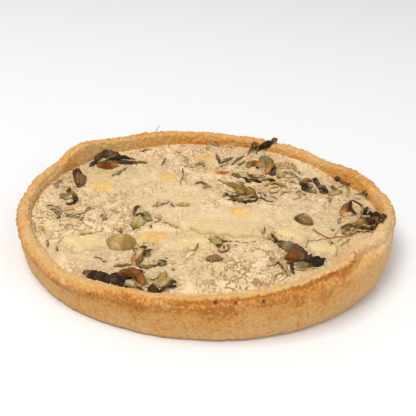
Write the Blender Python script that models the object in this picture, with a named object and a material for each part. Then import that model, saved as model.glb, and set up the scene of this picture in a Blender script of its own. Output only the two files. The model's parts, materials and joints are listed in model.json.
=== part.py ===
"""A whole asparagus quiche: raised crust, set filling, asparagus, buds, leaves and stalks.

Metres, +Z up. The origin is the middle of the flat underside, and -Y is the front.
Angles go round from +X towards +Y. Small sizes and places are written in millimetres and
multiplied by MM where the shapes are made.
"""

import math
import random
from collections import namedtuple

import bmesh
import bpy
from mathutils import Matrix, Vector, geometry, noise
from mathutils.bvhtree import BVHTree

MM = 0.001

# Crust, in millimetres: 26 cm across its rim and about 3 cm high.
BASE_RADIUS = 125.6
BASE_ROUNDING = 1.7
WALL_FLARE = 0.19           # outward run of the outer wall for each millimetre of height
RIM_RADIUS = 125.7          # middle line of the rim's crest
RIM_HEIGHT = 28.7
RIM_HALF_WIDTH = 4.3
FLOOR_THICKNESS = 4.5
FLOOR_RADIUS = 117.5
INNER_WALL_RADIUS = 121.0
LOWER_WALL = (119.4, 9.0)   # radius and height where the inner wall turns down to the floor
RIM_SEGMENTS = 96
PASTRY_RELIEF = 0.45        # how far the baked surface wanders in and out
PASTRY_GRAIN = 0.055        # bumps for each millimetre

# Where the hand-raised rim leaves its round: angle, spread in degrees, rise, lean inwards.
Swell = namedtuple("Swell", "angle spread rise lean")
RIM_SWELLS = (
    Swell(120, 30, 5.8, 0.0),       # the back left stands high
    Swell(142, 7, 5.0, -1.6),       # and has a peak that flares out
    Swell(155, 2.5, -0.8, 0.6),     # a nick beside the peak
    Swell(160, 7, 0.0, -1.2),       # and flares on towards the left
    Swell(62, 24, 1.1, 0.0),        # a little higher along the back
    Swell(44, 6, -2.2, 0.0),        # pressed low at the back right
    Swell(22, 9, 1.6, -0.6),        # then up again
    Swell(-3, 9, 0.6, -3.2),        # a bulge at the right
    Swell(-25, 19, 4.6, 4.0),       # the right side leans over the filling
    Swell(-37, 5, 0.8, 5.0),        # and begins in a sharp fold
    Swell(-61, 17, 4.5, 0.4),       # the front right stands high
    Swell(-55, 2.5, 0.9, 0.8),      # a flaky lip on it
    Swell(-133, 13, -4.8, -0.6),    # slumped low at the front left
)

# Filling.
GAP = 0.3                   # clearance between pieces that touch
FILLING_LEVEL = 22.8
SHORE_LEVEL = 23.0          # where the filling meets the wall
SHORE_TILT = 1.2            # it climbs towards the back left
SHORE_TILT_ANGLE = 130
SHORE_DIP = Swell(33, 11, -3.8, 0.0)
SHORE_BELOW_CREST = 4.6
SHORE_BLEND = 22.0
POINT_SPACING = 9.4         # between the points of the filling's top
FILLING_RELIEF = 0.55
FILLING_GRAIN = 0.045

# Long swellings over what is sunk below the surface: middle, heading, half sizes, rise.
Mound = namedtuple("Mound", "x y heading half_length half_width rise")
MOUNDS = (
    Mound(19, -30, -4, 25, 8.5, 3.4),       # spear under the skin, right of the middle
    Mound(-8, -50, 4, 22, 10, 1.4),
    Mound(-74, -54, 5, 20, 9, 1.2),
    Mound(-2, -92, 0, 15, 7, 1.0),
    Mound(-88, -10, 0, 14, 9, 0.9),
    Mound(60, -42, -45, 18, 8, 1.0),
    Mound(74, -54, -10, 12, 9, 1.0),
    Mound(-60, 52, 10, 40, 14, 0.8),
)

# Asparagus pieces: middle, heading, length, thickness, and how far the top stands out.
Chunk = namedtuple("Chunk", "x y heading length thickness proud")
ASPARAGUS = (
    Chunk(-81, 50, 2, 24, 13, 1.8),
    Chunk(-78, 31, 3, 20, 12, 2.6),
    Chunk(-32, 51, 0, 15, 11, 1.8),
    Chunk(-3, 90, -12, 19, 13, 2.6),
    Chunk(9, 62, 4, 16, 11, 2.2),
    Chunk(-10, 16, 14, 21, 12, 1.4),
    Chunk(-34, -46, 7, 21, 13, 2.4),
    Chunk(24, -4, 6, 17, 12, 2.0),
    Chunk(-6, -26, -4, 25, 13, 2.0),
    Chunk(-5, -52, 4, 28, 14, 1.8),
    Chunk(-80, -53, 8, 26, 14, 1.6),
    Chunk(55, -38, -44, 24, 11, 2.4),
    Chunk(76, -56, -12, 18, 14, 3.0),
    Chunk(-90, -10, 6, 20, 12, 1.2),
)

# Buds and tips: middle, heading of the blunt end, length, width, height for each millimetre
# of width, how far out, sharpness.
Bud = namedtuple("Bud", "x y heading length width flatness proud point")
BUDS = (
    Bud(-54, -56, 8, 21, 24, 0.55, 5.6, 0.05),
    Bud(68, -15, 118, 17, 12, 1.0, 5.2, 0.75),
    Bud(-17, 3, 15, 12, 8.5, 1.0, 2.4, 0.30),
    Bud(6, -72, 190, 13, 8.5, 1.0, 3.0, 0.60),
    Bud(98, -25, 20, 15, 9.5, 1.0, 4.2, 0.40),
)
BUD_SIDES = 10
CHUNK_SIDES = 9

# Leaves: spine seen from above, width, height of the cross arch, height of the lengthwise bow.
Leaf = namedtuple("Leaf", "name finish spine width arch bow")
LEAVES = (
    # Back left, against the high wall.
    Leaf("leaf_fold_back_left", "leaf_dark", ((-87, 67), (-77, 71), (-64, 74), (-49, 74)), 15, 7, 1),
    Leaf("leaf_brown_left", "leaf_brown", ((-98, 29), (-97, 42), (-94, 57)), 11, 4, 1),
    Leaf("leaf_grey_left", "leaf_grey", ((-106, 22), (-98, 12), (-95, -1)), 12, 2.5, 1),
    Leaf("leaf_wedge_left", "leaf_grey", ((-44, 0), (-42, -18), (-47, -36)), 15, 3, 1),
    # Front left, along the low wall.
    Leaf("leaf_curl_front_left", "leaf_brown", ((-46, -79), (-41, -69), (-35, -61)), 9, 4, 1),
    Leaf("leaf_pale_front_left", "leaf_pale", ((-47, -107), (-40, -108), (-33, -110)), 6, 1, 0),
    Leaf("leaf_ribbon_front_left", "leaf_dark", ((-74, -90), (-62, -97), (-50, -102)), 7, 2, 1),
    Leaf("leaf_arch_front_left", "leaf_rust", ((-53, -99), (-45, -97), (-38, -98), (-33, -105)), 6, 1, 4),
    Leaf("leaf_dark_front", "leaf_dark", ((-31, -108), (-22, -111)), 7, 2, 1),
    Leaf("leaf_twist_front", "leaf_dark", ((-25, -111), (-21, -107), (-16, -100)), 5, 2, 2),
    Leaf("leaf_striped_front", "leaf_pale", ((-35, -102), (-28, -97), (-21, -89)), 9, 2, 0),
    Leaf("leaf_strip_front", "leaf_olive", ((-57, -85), (-43, -82), (-27, -78)), 5, 1, 0),
    # Middle.
    Leaf("leaf_olive_middle", "leaf_olive", ((1, -40), (6, -50), (15, -56)), 9, 2, 1),
    Leaf("leaf_band_middle", "leaf_olive", ((8, 41), (21, 47), (33, 41), (41, 27)), 9, 2, 3),
    Leaf("leaf_ragged_middle", "leaf_dark", ((11, 18), (24, 14), (38, 17), (48, 13)), 7, 2, 1),
    Leaf("leaf_ragged_back", "leaf_dark", ((18, 54), (31, 50), (44, 50), (54, 55)), 7, 2, 1),
    # Back.
    Leaf("leaf_rust_back", "leaf_brown", ((31, 78), (38, 84), (45, 91)), 10, 4, 1),
    Leaf("leaf_bent_back", "leaf_olive", ((43, 99), (50, 90), (51, 78), (48, 66)), 8, 3, 1),
    Leaf("leaf_purple_back", "leaf_dark", ((54, 82), (57, 71), (59, 62)), 8, 3, 1),
    Leaf("leaf_arc_back_1", "leaf_grey", ((6, 82), (14, 93), (26, 99)), 5, 1.5, 1),
    Leaf("leaf_arc_back_2", "leaf_grey", ((17, 76), (24, 86), (34, 97)), 5, 1.5, 1),
    Leaf("leaf_over_rim", "leaf_dark", ((36, 106), (42, 111), (49, 114), (57, 117)), 7, 1.5, 3),
    # Back right.
    Leaf("leaf_sliver_right", "leaf_olive", ((43, 41), (52, 46), (61, 46)), 5, 1, 1),
    Leaf("leaf_dark_right_1", "leaf_dark", ((70, 54), (76, 47), (80, 39)), 9, 3, 1),
    Leaf("leaf_dark_right_2", "leaf_dark", ((82, 60), (87, 49), (92, 38)), 8, 3, 1),
    Leaf("leaf_grey_right", "leaf_grey", ((93, 48), (97, 40), (101, 32)), 8, 2, 1),
    Leaf("leaf_wall_right", "leaf_dark", ((98, 62), (104, 54), (109, 45)), 4, 1, 1),
    # Right, under the leaning wall.
    Leaf("leaf_olive_right", "leaf_olive", ((106, -2), (108, -11), (106, -19)), 8, 2, 1),
    Leaf("leaf_black_right", "leaf_black", ((106, -27), (112, -14), (117, -2)), 13, 3, 1),
    Leaf("leaf_arch_right", "leaf_rust", ((86, -8), (94, 7), (103, 12), (109, 2)), 6, 1, 7),
    # Right front.
    Leaf("leaf_ribbon_right_front", "leaf_dark", ((43, -35), (51, -49), (58, -62), (66, -76)), 8, 3, 1),
    Leaf("leaf_belly_right_front", "leaf_rust", ((44, -75), (50, -69), (56, -79)), 7, 2, 4),
    Leaf("leaf_tips_right_front", "leaf_black", ((62, -80), (70, -79), (79, -73)), 8, 2, 1),
)
LEAF_THICKNESS = 0.7
LEAF_REST = 0.45            # space kept between a leaf and what it lies on
LEAF_STATION = 3.9          # length of one row of faces
LEAF_COLUMNS = 4            # faces across; half as many on a narrow one
LEAF_NARROW = 7
LEAF_RAGGED = 0.16          # how unevenly its edges are torn
LEAF_RIPPLE = 0.5

# Thin shreds that are baked into the skin: spine and width.
Shred = namedtuple("Shred", "spine width")
SHREDS = (
    Shred(((-107, 2), (-103, -9), (-108, -18)), 2.4),
    Shred(((-98, -22), (-88, -24), (-78, -20)), 2.4),
    Shred(((-38, 1), (-31, 5), (-24, 8)), 4.0),
    Shred(((-11, 40), (-4, 45), (4, 37)), 3.0),
    Shred(((2, 116), (10, 114)), 4.0),
    Shred(((58, 90), (66, 84), (73, 79)), 4.0),
    Shred(((62, 40), (66, 32)), 4.0),
    Shred(((103, 12), (111, 18)), 3.5),
    Shred(((92, -46), (101, -42), (106, -36)), 2.4),
    Shred(((40, -80), (46, -84), (51, -92)), 2.6),
    Shred(((-80, -38), (-72, -39), (-65, -37)), 2.6),
    Shred(((-6, -78), (-2, -84)), 3.0),
)
SHRED_HEIGHT = 1.0
SHRED_DEPTH = 1.6
SHRED_STATION = 7.0

# Stalks: spine with heights above what it lies on, and thickness at the root.
Stalk = namedtuple("Stalk", "name spine thickness")
STALKS = (
    Stalk("stalk_right", ((73, -27, 1.2), (79, -33, 0.4), (86, -36, 0.4), (93, -33, 1.2)), 1.2),
    Stalk("stalk_back_rim", ((-45, 120, 0.0), (-44, 120.5, 3.0), (-41.5, 121, 5.6)), 1.0),
)
STALK_SIDES = 6

# Colour and roughness of each finish.
FINISHES = {
    "crust": ((0.60, 0.32, 0.12), 0.75),
    "filling": ((0.79, 0.61, 0.36), 0.70),
    "asparagus": ((0.82, 0.64, 0.31), 0.45),
    "bud": ((0.30, 0.22, 0.08), 0.50),
    "leaf_dark": ((0.085, 0.052, 0.030), 0.60),
    "leaf_black": ((0.040, 0.024, 0.014), 0.60),
    "leaf_brown": ((0.16, 0.075, 0.028), 0.60),
    "leaf_rust": ((0.22, 0.058, 0.010), 0.50),
    "leaf_olive": ((0.26, 0.18, 0.055), 0.55),
    "leaf_grey": ((0.30, 0.24, 0.13), 0.65),
    "leaf_pale": ((0.52, 0.45, 0.22), 0.60),
    "stalk": ((0.36, 0.16, 0.06), 0.60),
}


def clear_scene():
    """Start from an empty scene."""
    for old in list(bpy.data.objects):
        bpy.data.objects.remove(old, do_unlink=True)


def finish_material(name):
    """The plain material of one finish."""
    material = bpy.data.materials.get(name)
    if material is None:
        colour, roughness = FINISHES[name]
        material = bpy.data.materials.new(name)
        material.use_nodes = True
        shader = material.node_tree.nodes["Principled BSDF"]
        shader.inputs["Base Color"].default_value = (*colour, 1.0)
        shader.inputs["Roughness"].default_value = roughness
        shader.inputs["Metallic"].default_value = 0.0
    return material


def add_object(name, points, faces, finish, smooth=True):
    """Make one closed object from points in millimetres, with its origin in its middle."""
    low = [min(p[i] for p in points) for i in range(3)]
    high = [max(p[i] for p in points) for i in range(3)]
    middle = Vector([(a + b) / 2 for a, b in zip(low, high)])
    if name in ("crust", "filling"):
        middle = Vector((0, 0, 0))
    mesh = bpy.data.meshes.new(name)
    mesh.from_pydata([(Vector(p) - middle) * MM for p in points], [], faces)
    shape = bmesh.new()
    shape.from_mesh(mesh)
    bmesh.ops.recalc_face_normals(shape, faces=shape.faces)
    shape.to_mesh(mesh)
    shape.free()
    mesh.materials.append(finish_material(finish))
    if smooth:
        mesh.shade_smooth()
    made = bpy.data.objects.new(name, mesh)
    made.location = middle * MM
    bpy.context.scene.collection.objects.link(made)
    return made


def bell(angle, middle, spread):
    """One at the middle angle, fading to nothing on both sides; all in degrees."""
    away = (angle - middle + 180) % 360 - 180
    return math.exp(-0.5 * (away / spread) ** 2)


def smooth_step(value):
    """Ease from 0 to 1."""
    value = min(1.0, max(0.0, value))
    return value * value * (3 - 2 * value)


# ---------------------------------------------------------------- crust

def crest(angle):
    """Radius and height of the rim's crest."""
    rise = sum(s.rise * bell(angle, s.angle, s.spread) for s in RIM_SWELLS)
    lean = sum(s.lean * bell(angle, s.angle, s.spread) for s in RIM_SWELLS)
    return RIM_RADIUS - lean, RIM_HEIGHT + rise


def shore(angle):
    """Radius and height of the line where the filling meets the wall."""
    crest_radius, crest_height = crest(angle)
    level = SHORE_LEVEL + SHORE_TILT * math.cos(math.radians(angle - SHORE_TILT_ANGLE))
    level += SHORE_DIP.rise * bell(angle, SHORE_DIP.angle, SHORE_DIP.spread)
    radius = min(INNER_WALL_RADIUS, crest_radius - RIM_HALF_WIDTH - 0.4)
    return radius, min(level, crest_height - SHORE_BELOW_CREST)


def pastry_relief(angle, height, salt):
    """How far the pastry's surface stands out at one place."""
    turn = math.radians(angle)
    around = BASE_RADIUS * PASTRY_GRAIN
    place = Vector((around * math.cos(turn), around * math.sin(turn), height * PASTRY_GRAIN * 2 + salt))
    return PASTRY_RELIEF * 2 * noise.noise(place)


def crust_section(angle):
    """Points (radius, height) of the crust, from under its edge, over the rim, to the floor."""
    crest_radius, crest_height = crest(angle)
    shore_radius, shore_height = shore(angle)
    width = RIM_HALF_WIDTH
    groove_height = crest_height - 8.4
    wall = [(height, BASE_RADIUS + WALL_FLARE * height) for height in (BASE_ROUNDING, 7.0, 13.5)]
    groove_wall = BASE_RADIUS + WALL_FLARE * groove_height - 0.4
    lean = max(0.0, RIM_RADIUS - crest_radius)
    outer = [(BASE_RADIUS - BASE_ROUNDING, 0.0)]
    for height, radius in wall:
        bulge = 0.12 * lean * smooth_step((height - 2) / 12)
        outer.append((radius + bulge + pastry_relief(angle, height, 0), height))
    outer.append((groove_wall - 0.35 * lean, groove_height))
    swing = pastry_relief(angle, crest_height, 7)
    lift = pastry_relief(angle, crest_height, 19)
    rim = (
        (width + 0.25, -5.4),
        (width - 0.5, -2.4),
        (width * 0.52, -0.55),
        (0.0, 0.0),
        (-width * 0.60, -0.8),
        (-width + 0.2, -2.9),
    )
    over = [(crest_radius + across + swing, crest_height + up + lift) for across, up in rim]
    inner = [(shore_radius, shore_height), LOWER_WALL, (FLOOR_RADIUS, FLOOR_THICKNESS)]
    return outer + over + inner


def spin_sections(sections, angles):
    """Points and side faces of sections set side by side round a full turn."""
    points = []
    faces = []
    rows = len(sections[0])
    count = len(sections)
    for section, angle in zip(sections, angles):
        turn = math.radians(angle)
        points += [(r * math.cos(turn), r * math.sin(turn), z) for r, z in section]
    for index in range(count):
        here = index * rows
        there = (index + 1) % count * rows
        for row in range(rows - 1):
            a, b = here + row, there + row
            faces.append((a, b, b + 1))
            faces.append((a, b + 1, a + 1))
    return points, faces


def close_with_fan(points, faces, ring, centre):
    """Close a ring of point numbers to one centre point."""
    hub = len(points)
    points.append(centre)
    for a, b in zip(ring, ring[1:] + ring[:1]):
        faces.append((a, b, hub))


def rim_angles():
    """The angles of the crust's sections, in degrees."""
    return [index * 360 / RIM_SEGMENTS for index in range(RIM_SEGMENTS)]


def make_crust():
    """The crust: floor, flared wall and uneven rounded rim."""
    angles = rim_angles()
    sections = [crust_section(angle) for angle in angles]
    points, faces = spin_sections(sections, angles)
    rows = len(sections[0])
    under = [index * rows for index in range(RIM_SEGMENTS)]
    floor = [index * rows + rows - 1 for index in range(RIM_SEGMENTS)]
    close_with_fan(points, faces, under, (0, 0, 0))
    close_with_fan(points, faces, floor, (0, 0, FLOOR_THICKNESS))
    return add_object("crust", points, faces, "crust")


# ---------------------------------------------------------------- filling

def mound_height(x, y):
    """Height added by what is sunk just below the skin."""
    total = 0.0
    for mound in MOUNDS:
        turn = math.radians(mound.heading)
        along = (x - mound.x) * math.cos(turn) + (y - mound.y) * math.sin(turn)
        across = -(x - mound.x) * math.sin(turn) + (y - mound.y) * math.cos(turn)
        end = max(0.0, abs(along) - mound.half_length + mound.half_width)
        away = math.hypot(end, across) / mound.half_width
        total += mound.rise * (1 - smooth_step(away / 1.5))
    return total


def filling_height(x, y):
    """Height of the filling's skin."""
    angle = math.degrees(math.atan2(y, x))
    shore_radius, shore_height = shore(angle)
    away = smooth_step((shore_radius - math.hypot(x, y)) / SHORE_BLEND)
    grain = FILLING_RELIEF * noise.noise(Vector((x * FILLING_GRAIN, y * FILLING_GRAIN, 3.7)))
    grain += 0.5 * FILLING_RELIEF * noise.noise(Vector((x, y, 9.1)) * FILLING_GRAIN * 2.3)
    inside = FILLING_LEVEL + mound_height(x, y) + grain
    return shore_height * (1 - away) + inside * away


def top_places():
    """Places of the skin's points, on rows set like a honeycomb and kept off the edge."""
    row_step = POINT_SPACING * math.sqrt(3) / 2
    rows = int(INNER_WALL_RADIUS / row_step) + 1
    places = []
    for row in range(-rows, rows + 1):
        y = row * row_step
        shift = POINT_SPACING / 2 if row % 2 else 0.0
        for column in range(-rows - 2, rows + 3):
            x = column * POINT_SPACING + shift
            edge = shore(math.degrees(math.atan2(y, x)))[0] - GAP
            if math.hypot(x, y) < edge - 0.45 * POINT_SPACING:
                places.append((x, y))
    return places


def filling_solid():
    """The filling before anything is pressed into it."""
    angles = rim_angles()
    sections = []
    for angle in angles:
        shore_radius, shore_height = shore(angle)
        lower_radius, lower_height = LOWER_WALL
        sections.append([
            (shore_radius - GAP, shore_height),
            (lower_radius - GAP, lower_height),
            (FLOOR_RADIUS - 2 * GAP, FLOOR_THICKNESS + GAP),
        ])
    points, faces = spin_sections(sections, angles)
    rows = len(sections[0])
    floor = [index * rows + rows - 1 for index in range(RIM_SEGMENTS)]
    close_with_fan(points, faces, floor, (0, 0, FLOOR_THICKNESS + GAP))
    ring = [index * rows for index in range(RIM_SEGMENTS)]
    flat = [Vector(points[number][:2]) for number in ring] + [Vector(place) for place in top_places()]
    edges = [(number, (number + 1) % RIM_SEGMENTS) for number in range(RIM_SEGMENTS)]
    places, _, skin, _, _, _ = geometry.delaunay_2d_cdt(flat, edges, [], 1, 1e-6)
    numbers = list(ring)
    for place in places[RIM_SEGMENTS:]:
        numbers.append(len(points))
        points.append((place.x, place.y, filling_height(place.x, place.y)))
    faces += [tuple(numbers[corner] for corner in face) for face in skin]
    return add_object("filling", points, faces, "filling")


def apply_boolean(body, tools, operation):
    """Cut or join a list of objects with the body in one Boolean, and remove them."""
    group = bpy.data.collections.new(f"{body.name}_{operation.lower()}")
    bpy.context.scene.collection.children.link(group)
    for tool in tools:
        bpy.context.scene.collection.objects.unlink(tool)
        group.objects.link(tool)
    modifier = body.modifiers.new(operation.lower(), "BOOLEAN")
    modifier.operation = operation
    modifier.operand_type = "COLLECTION"
    modifier.collection = group
    modifier.solver = "EXACT"
    bpy.context.view_layer.update()
    depsgraph = bpy.context.evaluated_depsgraph_get()
    result = bpy.data.meshes.new_from_object(body.evaluated_get(depsgraph))
    body.modifiers.remove(modifier)
    old_mesh = body.data
    body.data = result
    bpy.data.meshes.remove(old_mesh)
    result.name = body.name
    for tool in tools:
        bpy.data.objects.remove(tool, do_unlink=True)
    bpy.data.collections.remove(group)


# ---------------------------------------------------------------- pieces set into the filling

def lathe_piece(name, profile, sides, place, heading, flatness, finish):
    """A body turned about its own length: profile is (along, radius), ends closed to a point."""
    points = []
    faces = []
    for along, radius in profile[1:-1]:
        for side in range(sides):
            turn = 2 * math.pi * (side + 0.5) / sides
            points.append(Vector((along, radius * math.cos(turn), flatness * radius * math.sin(turn))))
    rings = len(profile) - 2
    for ring in range(rings - 1):
        for side in range(sides):
            a = ring * sides + side
            b = ring * sides + (side + 1) % sides
            faces.append((a, b, b + sides, a + sides))
    for ring, end in ((0, profile[0]), (rings - 1, profile[-1])):
        close_with_fan(points, faces, [ring * sides + side for side in range(sides)], Vector((end[0], 0, 0)))
    spin = Matrix.Rotation(math.radians(heading), 3, "Z")
    moved = [spin @ point + Vector(place) for point in points]
    return add_object(name, moved, faces, finish)


def chunk_profile(length, thickness, extra):
    """Section of a cut spear: straight sides with cut ends just rounded."""
    half = length / 2 + extra
    radius = thickness / 2 + extra
    return (
        (-half, 0.0),
        (-half + 0.1, radius * 0.72),
        (-half + 1.6, radius * 0.96),
        (0.0, radius),
        (half - 1.6, radius * 0.96),
        (half - 0.1, radius * 0.72),
        (half, 0.0),
    )


def bud_profile(length, width, point, extra):
    """Section of a bud: blunt at one end, drawn to a tip at the other."""
    radius = width / 2 + extra
    half = length / 2 + extra
    steps = 6
    profile = []
    for step in range(steps + 1):
        turn = math.pi * step / steps
        along = -half * math.cos(turn)
        pinch = 1 - 0.55 * point * smooth_step((-along / half + 0.1) / 1.1)
        profile.append((along, radius * math.sin(turn) * pinch))
    return profile


def set_pieces(extra, prefix):
    """Every asparagus piece and bud, grown by extra all round."""
    made = []
    for number, chunk in enumerate(ASPARAGUS, 1):
        height = filling_height(chunk.x, chunk.y) + chunk.proud - chunk.thickness / 2
        profile = chunk_profile(chunk.length, chunk.thickness, extra)
        place = (chunk.x, chunk.y, height)
        name = f"{prefix}asparagus_{number:02d}"
        made.append(lathe_piece(name, profile, CHUNK_SIDES, place, chunk.heading, 1.0, "asparagus"))
    for number, bud in enumerate(BUDS, 1):
        half_width = bud.width / 2
        half_height = half_width * bud.flatness
        height = filling_height(bud.x, bud.y) + bud.proud - half_height
        flatness = (half_height + extra) / (half_width + extra)
        profile = bud_profile(bud.length, bud.width, bud.point, extra)
        place = (bud.x, bud.y, height)
        name = f"{prefix}bud_{number:02d}"
        made.append(lathe_piece(name, profile, BUD_SIDES, place, bud.heading, flatness, "bud"))
    return made


# ---------------------------------------------------------------- pieces laid on top

class Ground:
    """What lies there so far, and how high it reaches."""

    def __init__(self):
        self.trees = []

    def add(self, made):
        """Count an object as something that later pieces lie on."""
        points = [made.matrix_world @ vertex.co for vertex in made.data.vertices]
        faces = [tuple(face.vertices) for face in made.data.polygons]
        self.trees.append(BVHTree.FromPolygons(points, faces))

    def height(self, x, y, reach):
        """Highest surface within reach of a place, in millimetres."""
        best = 0.0
        spots = [(0.0, 0.0)]
        for distance in (0.5, 1.0):
            for step in range(8):
                turn = math.pi * step / 4
                spots.append((distance * reach * math.cos(turn), distance * reach * math.sin(turn)))
        for dx, dy in spots:
            start = Vector(((x + dx) * MM, (y + dy) * MM, 0.2))
            for tree in self.trees:
                hit = tree.ray_cast(start, Vector((0, 0, -1)))[0]
                if hit is not None:
                    best = max(best, hit.z / MM)
        return best


def smooth_path(points, step):
    """Places along a Catmull-Rom curve through the points, about one step apart."""
    knots = [Vector(point) for point in points]
    knots = [2 * knots[0] - knots[1]] + knots + [2 * knots[-1] - knots[-2]]
    path = []
    for index in range(1, len(knots) - 2):
        p0, p1, p2, p3 = knots[index - 1:index + 3]
        pieces = max(2, round((p2 - p1).length / step))
        for piece in range(pieces):
            t = piece / pieces
            curve = 2 * p1 + (p2 - p0) * t + (2 * p0 - 5 * p1 + 4 * p2 - p3) * t ** 2
            curve += (3 * p1 - p0 - 3 * p2 + p3) * t ** 3
            path.append(curve / 2)
    path.append(knots[-2])
    return path


def path_side(path, index):
    """Unit vector to the left of the path at one place, level with the ground."""
    ahead = path[min(index + 1, len(path) - 1)] - path[max(index - 1, 0)]
    return Vector((-ahead.y, ahead.x)).normalized()


def make_leaf(leaf, ground, draw):
    """A thin wavy leaf laid on what is there; both faces have the same triangles."""
    path = smooth_path(leaf.spine, LEAF_STATION)
    last = len(path) - 1
    strips = LEAF_COLUMNS if leaf.width >= LEAF_NARROW else LEAF_COLUMNS // 2
    columns = strips + 1
    reach = max(LEAF_STATION, leaf.width / strips) * 0.75
    lower = []
    for row, place in enumerate(path):
        share = row / last
        side = path_side(path, row)
        half = leaf.width / 2 * math.sin(math.pi * (0.14 + 0.74 * share)) ** 0.7
        for column in range(columns):
            across = 2 * column / strips - 1
            torn = 1 + LEAF_RAGGED * draw.uniform(-1, 1) * abs(across)
            spot = place + side * half * across * torn
            height = ground.height(spot.x, spot.y, reach) + LEAF_REST
            height += leaf.arch * (1 - across ** 2) * math.sin(math.pi * (0.15 + 0.7 * share))
            height += leaf.bow * math.sin(math.pi * share)
            height += LEAF_RIPPLE * (1 + math.sin(1.9 * row + 2.3 * across))
            lower.append((spot.x, spot.y, height))
    upper = [(x, y, z + LEAF_THICKNESS) for x, y, z in lower]
    points = lower + upper
    faces = []
    shift = len(lower)
    for row in range(last):
        for column in range(strips):
            a = row * columns + column
            b = a + columns
            for corners in ((a, a + 1, b), (a + 1, b + 1, b)):
                faces.append(corners)
                faces.append(tuple(number + shift for number in reversed(corners)))
    border = [column for column in range(columns)]
    border += [row * columns + strips for row in range(1, last + 1)]
    border += [last * columns + column for column in reversed(range(strips))]
    border += [row * columns for row in reversed(range(1, last))]
    for a, b in zip(border, border[1:] + border[:1]):
        faces.append((a, a + shift, b + shift))
        faces.append((a, b + shift, b))
    return add_object(leaf.name, points, faces, leaf.finish)


def make_shred(name, shred):
    """A narrow strip that is half sunk in the skin."""
    path = smooth_path(shred.spine, SHRED_STATION)
    last = len(path) - 1
    points = []
    for row, place in enumerate(path):
        side = path_side(path, row) * shred.width / 2 * (0.45 + 0.55 * math.sin(math.pi * row / last))
        top = filling_height(place.x, place.y)
        for along, up in ((1, 0.25), (0, 1), (-1, 0.25)):
            spot = place + side * along
            points.append((spot.x, spot.y, top + SHRED_HEIGHT * up))
        points.append((place.x, place.y, top - SHRED_DEPTH))
    faces = [(0, 1, 2), (0, 2, 3)]
    for row in range(last):
        for corner in range(4):
            a = row * 4 + corner
            b = row * 4 + (corner + 1) % 4
            faces.append((a, b, b + 4))
            faces.append((a, b + 4, a + 4))
    end = last * 4
    faces += [(end, end + 1, end + 2), (end, end + 2, end + 3)]
    return add_object(name, points, faces, "filling")


def make_stalk(stalk, ground):
    """A thin bent stalk with six sides, thinner towards its end."""
    path = smooth_path(stalk.spine, 3.0)
    last = len(path) - 1
    points = []
    faces = []
    for row, place in enumerate(path):
        radius = stalk.thickness / 2 * (1 - 0.5 * row / last)
        base = ground.height(place.x, place.y, stalk.thickness) + LEAF_REST + radius + place.z
        ahead = (path[min(row + 1, last)] - path[max(row - 1, 0)]).normalized()
        side = Vector((-ahead.y, ahead.x, 0)).normalized()
        up = ahead.cross(side)
        for step in range(STALK_SIDES):
            turn = 2 * math.pi * step / STALK_SIDES
            spot = side * math.cos(turn) * radius + up * math.sin(turn) * radius
            points.append((place.x + spot.x, place.y + spot.y, base + spot.z))
    for row in range(last):
        for step in range(STALK_SIDES):
            a = row * STALK_SIDES + step
            b = row * STALK_SIDES + (step + 1) % STALK_SIDES
            faces.append((a, b, b + STALK_SIDES, a + STALK_SIDES))
    faces.append(tuple(range(STALK_SIDES)))
    faces.append(tuple(last * STALK_SIDES + step for step in range(STALK_SIDES)))
    return add_object(stalk.name, points, faces, "stalk")


def main():
    """Build every piece, from the crust up."""
    clear_scene()
    crust = make_crust()
    filling = filling_solid()
    shreds = [make_shred(f"shred_{number:02d}", shred) for number, shred in enumerate(SHREDS, 1)]
    apply_boolean(filling, shreds, "UNION")
    apply_boolean(filling, set_pieces(GAP, "pocket_"), "DIFFERENCE")
    ground = Ground()
    bpy.context.view_layer.update()
    for made in [crust, filling] + set_pieces(0.0, ""):
        bpy.context.view_layer.update()
        ground.add(made)
    draw = random.Random(11)
    for leaf in LEAVES:
        made = make_leaf(leaf, ground, draw)
        bpy.context.view_layer.update()
        ground.add(made)
    for stalk in STALKS:
        make_stalk(stalk, ground)


main()
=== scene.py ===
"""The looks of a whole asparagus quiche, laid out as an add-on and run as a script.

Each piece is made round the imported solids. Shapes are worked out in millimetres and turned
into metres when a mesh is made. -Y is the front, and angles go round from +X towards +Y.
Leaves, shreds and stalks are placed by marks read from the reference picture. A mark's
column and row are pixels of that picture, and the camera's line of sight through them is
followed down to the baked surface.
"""

import json
import math
import random
from collections import namedtuple

import bpy
import numpy as np
from bpy.props import FloatProperty, FloatVectorProperty, IntProperty, PointerProperty
from mathutils import Matrix, Vector, noise
from mathutils.bvhtree import BVHTree

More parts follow.
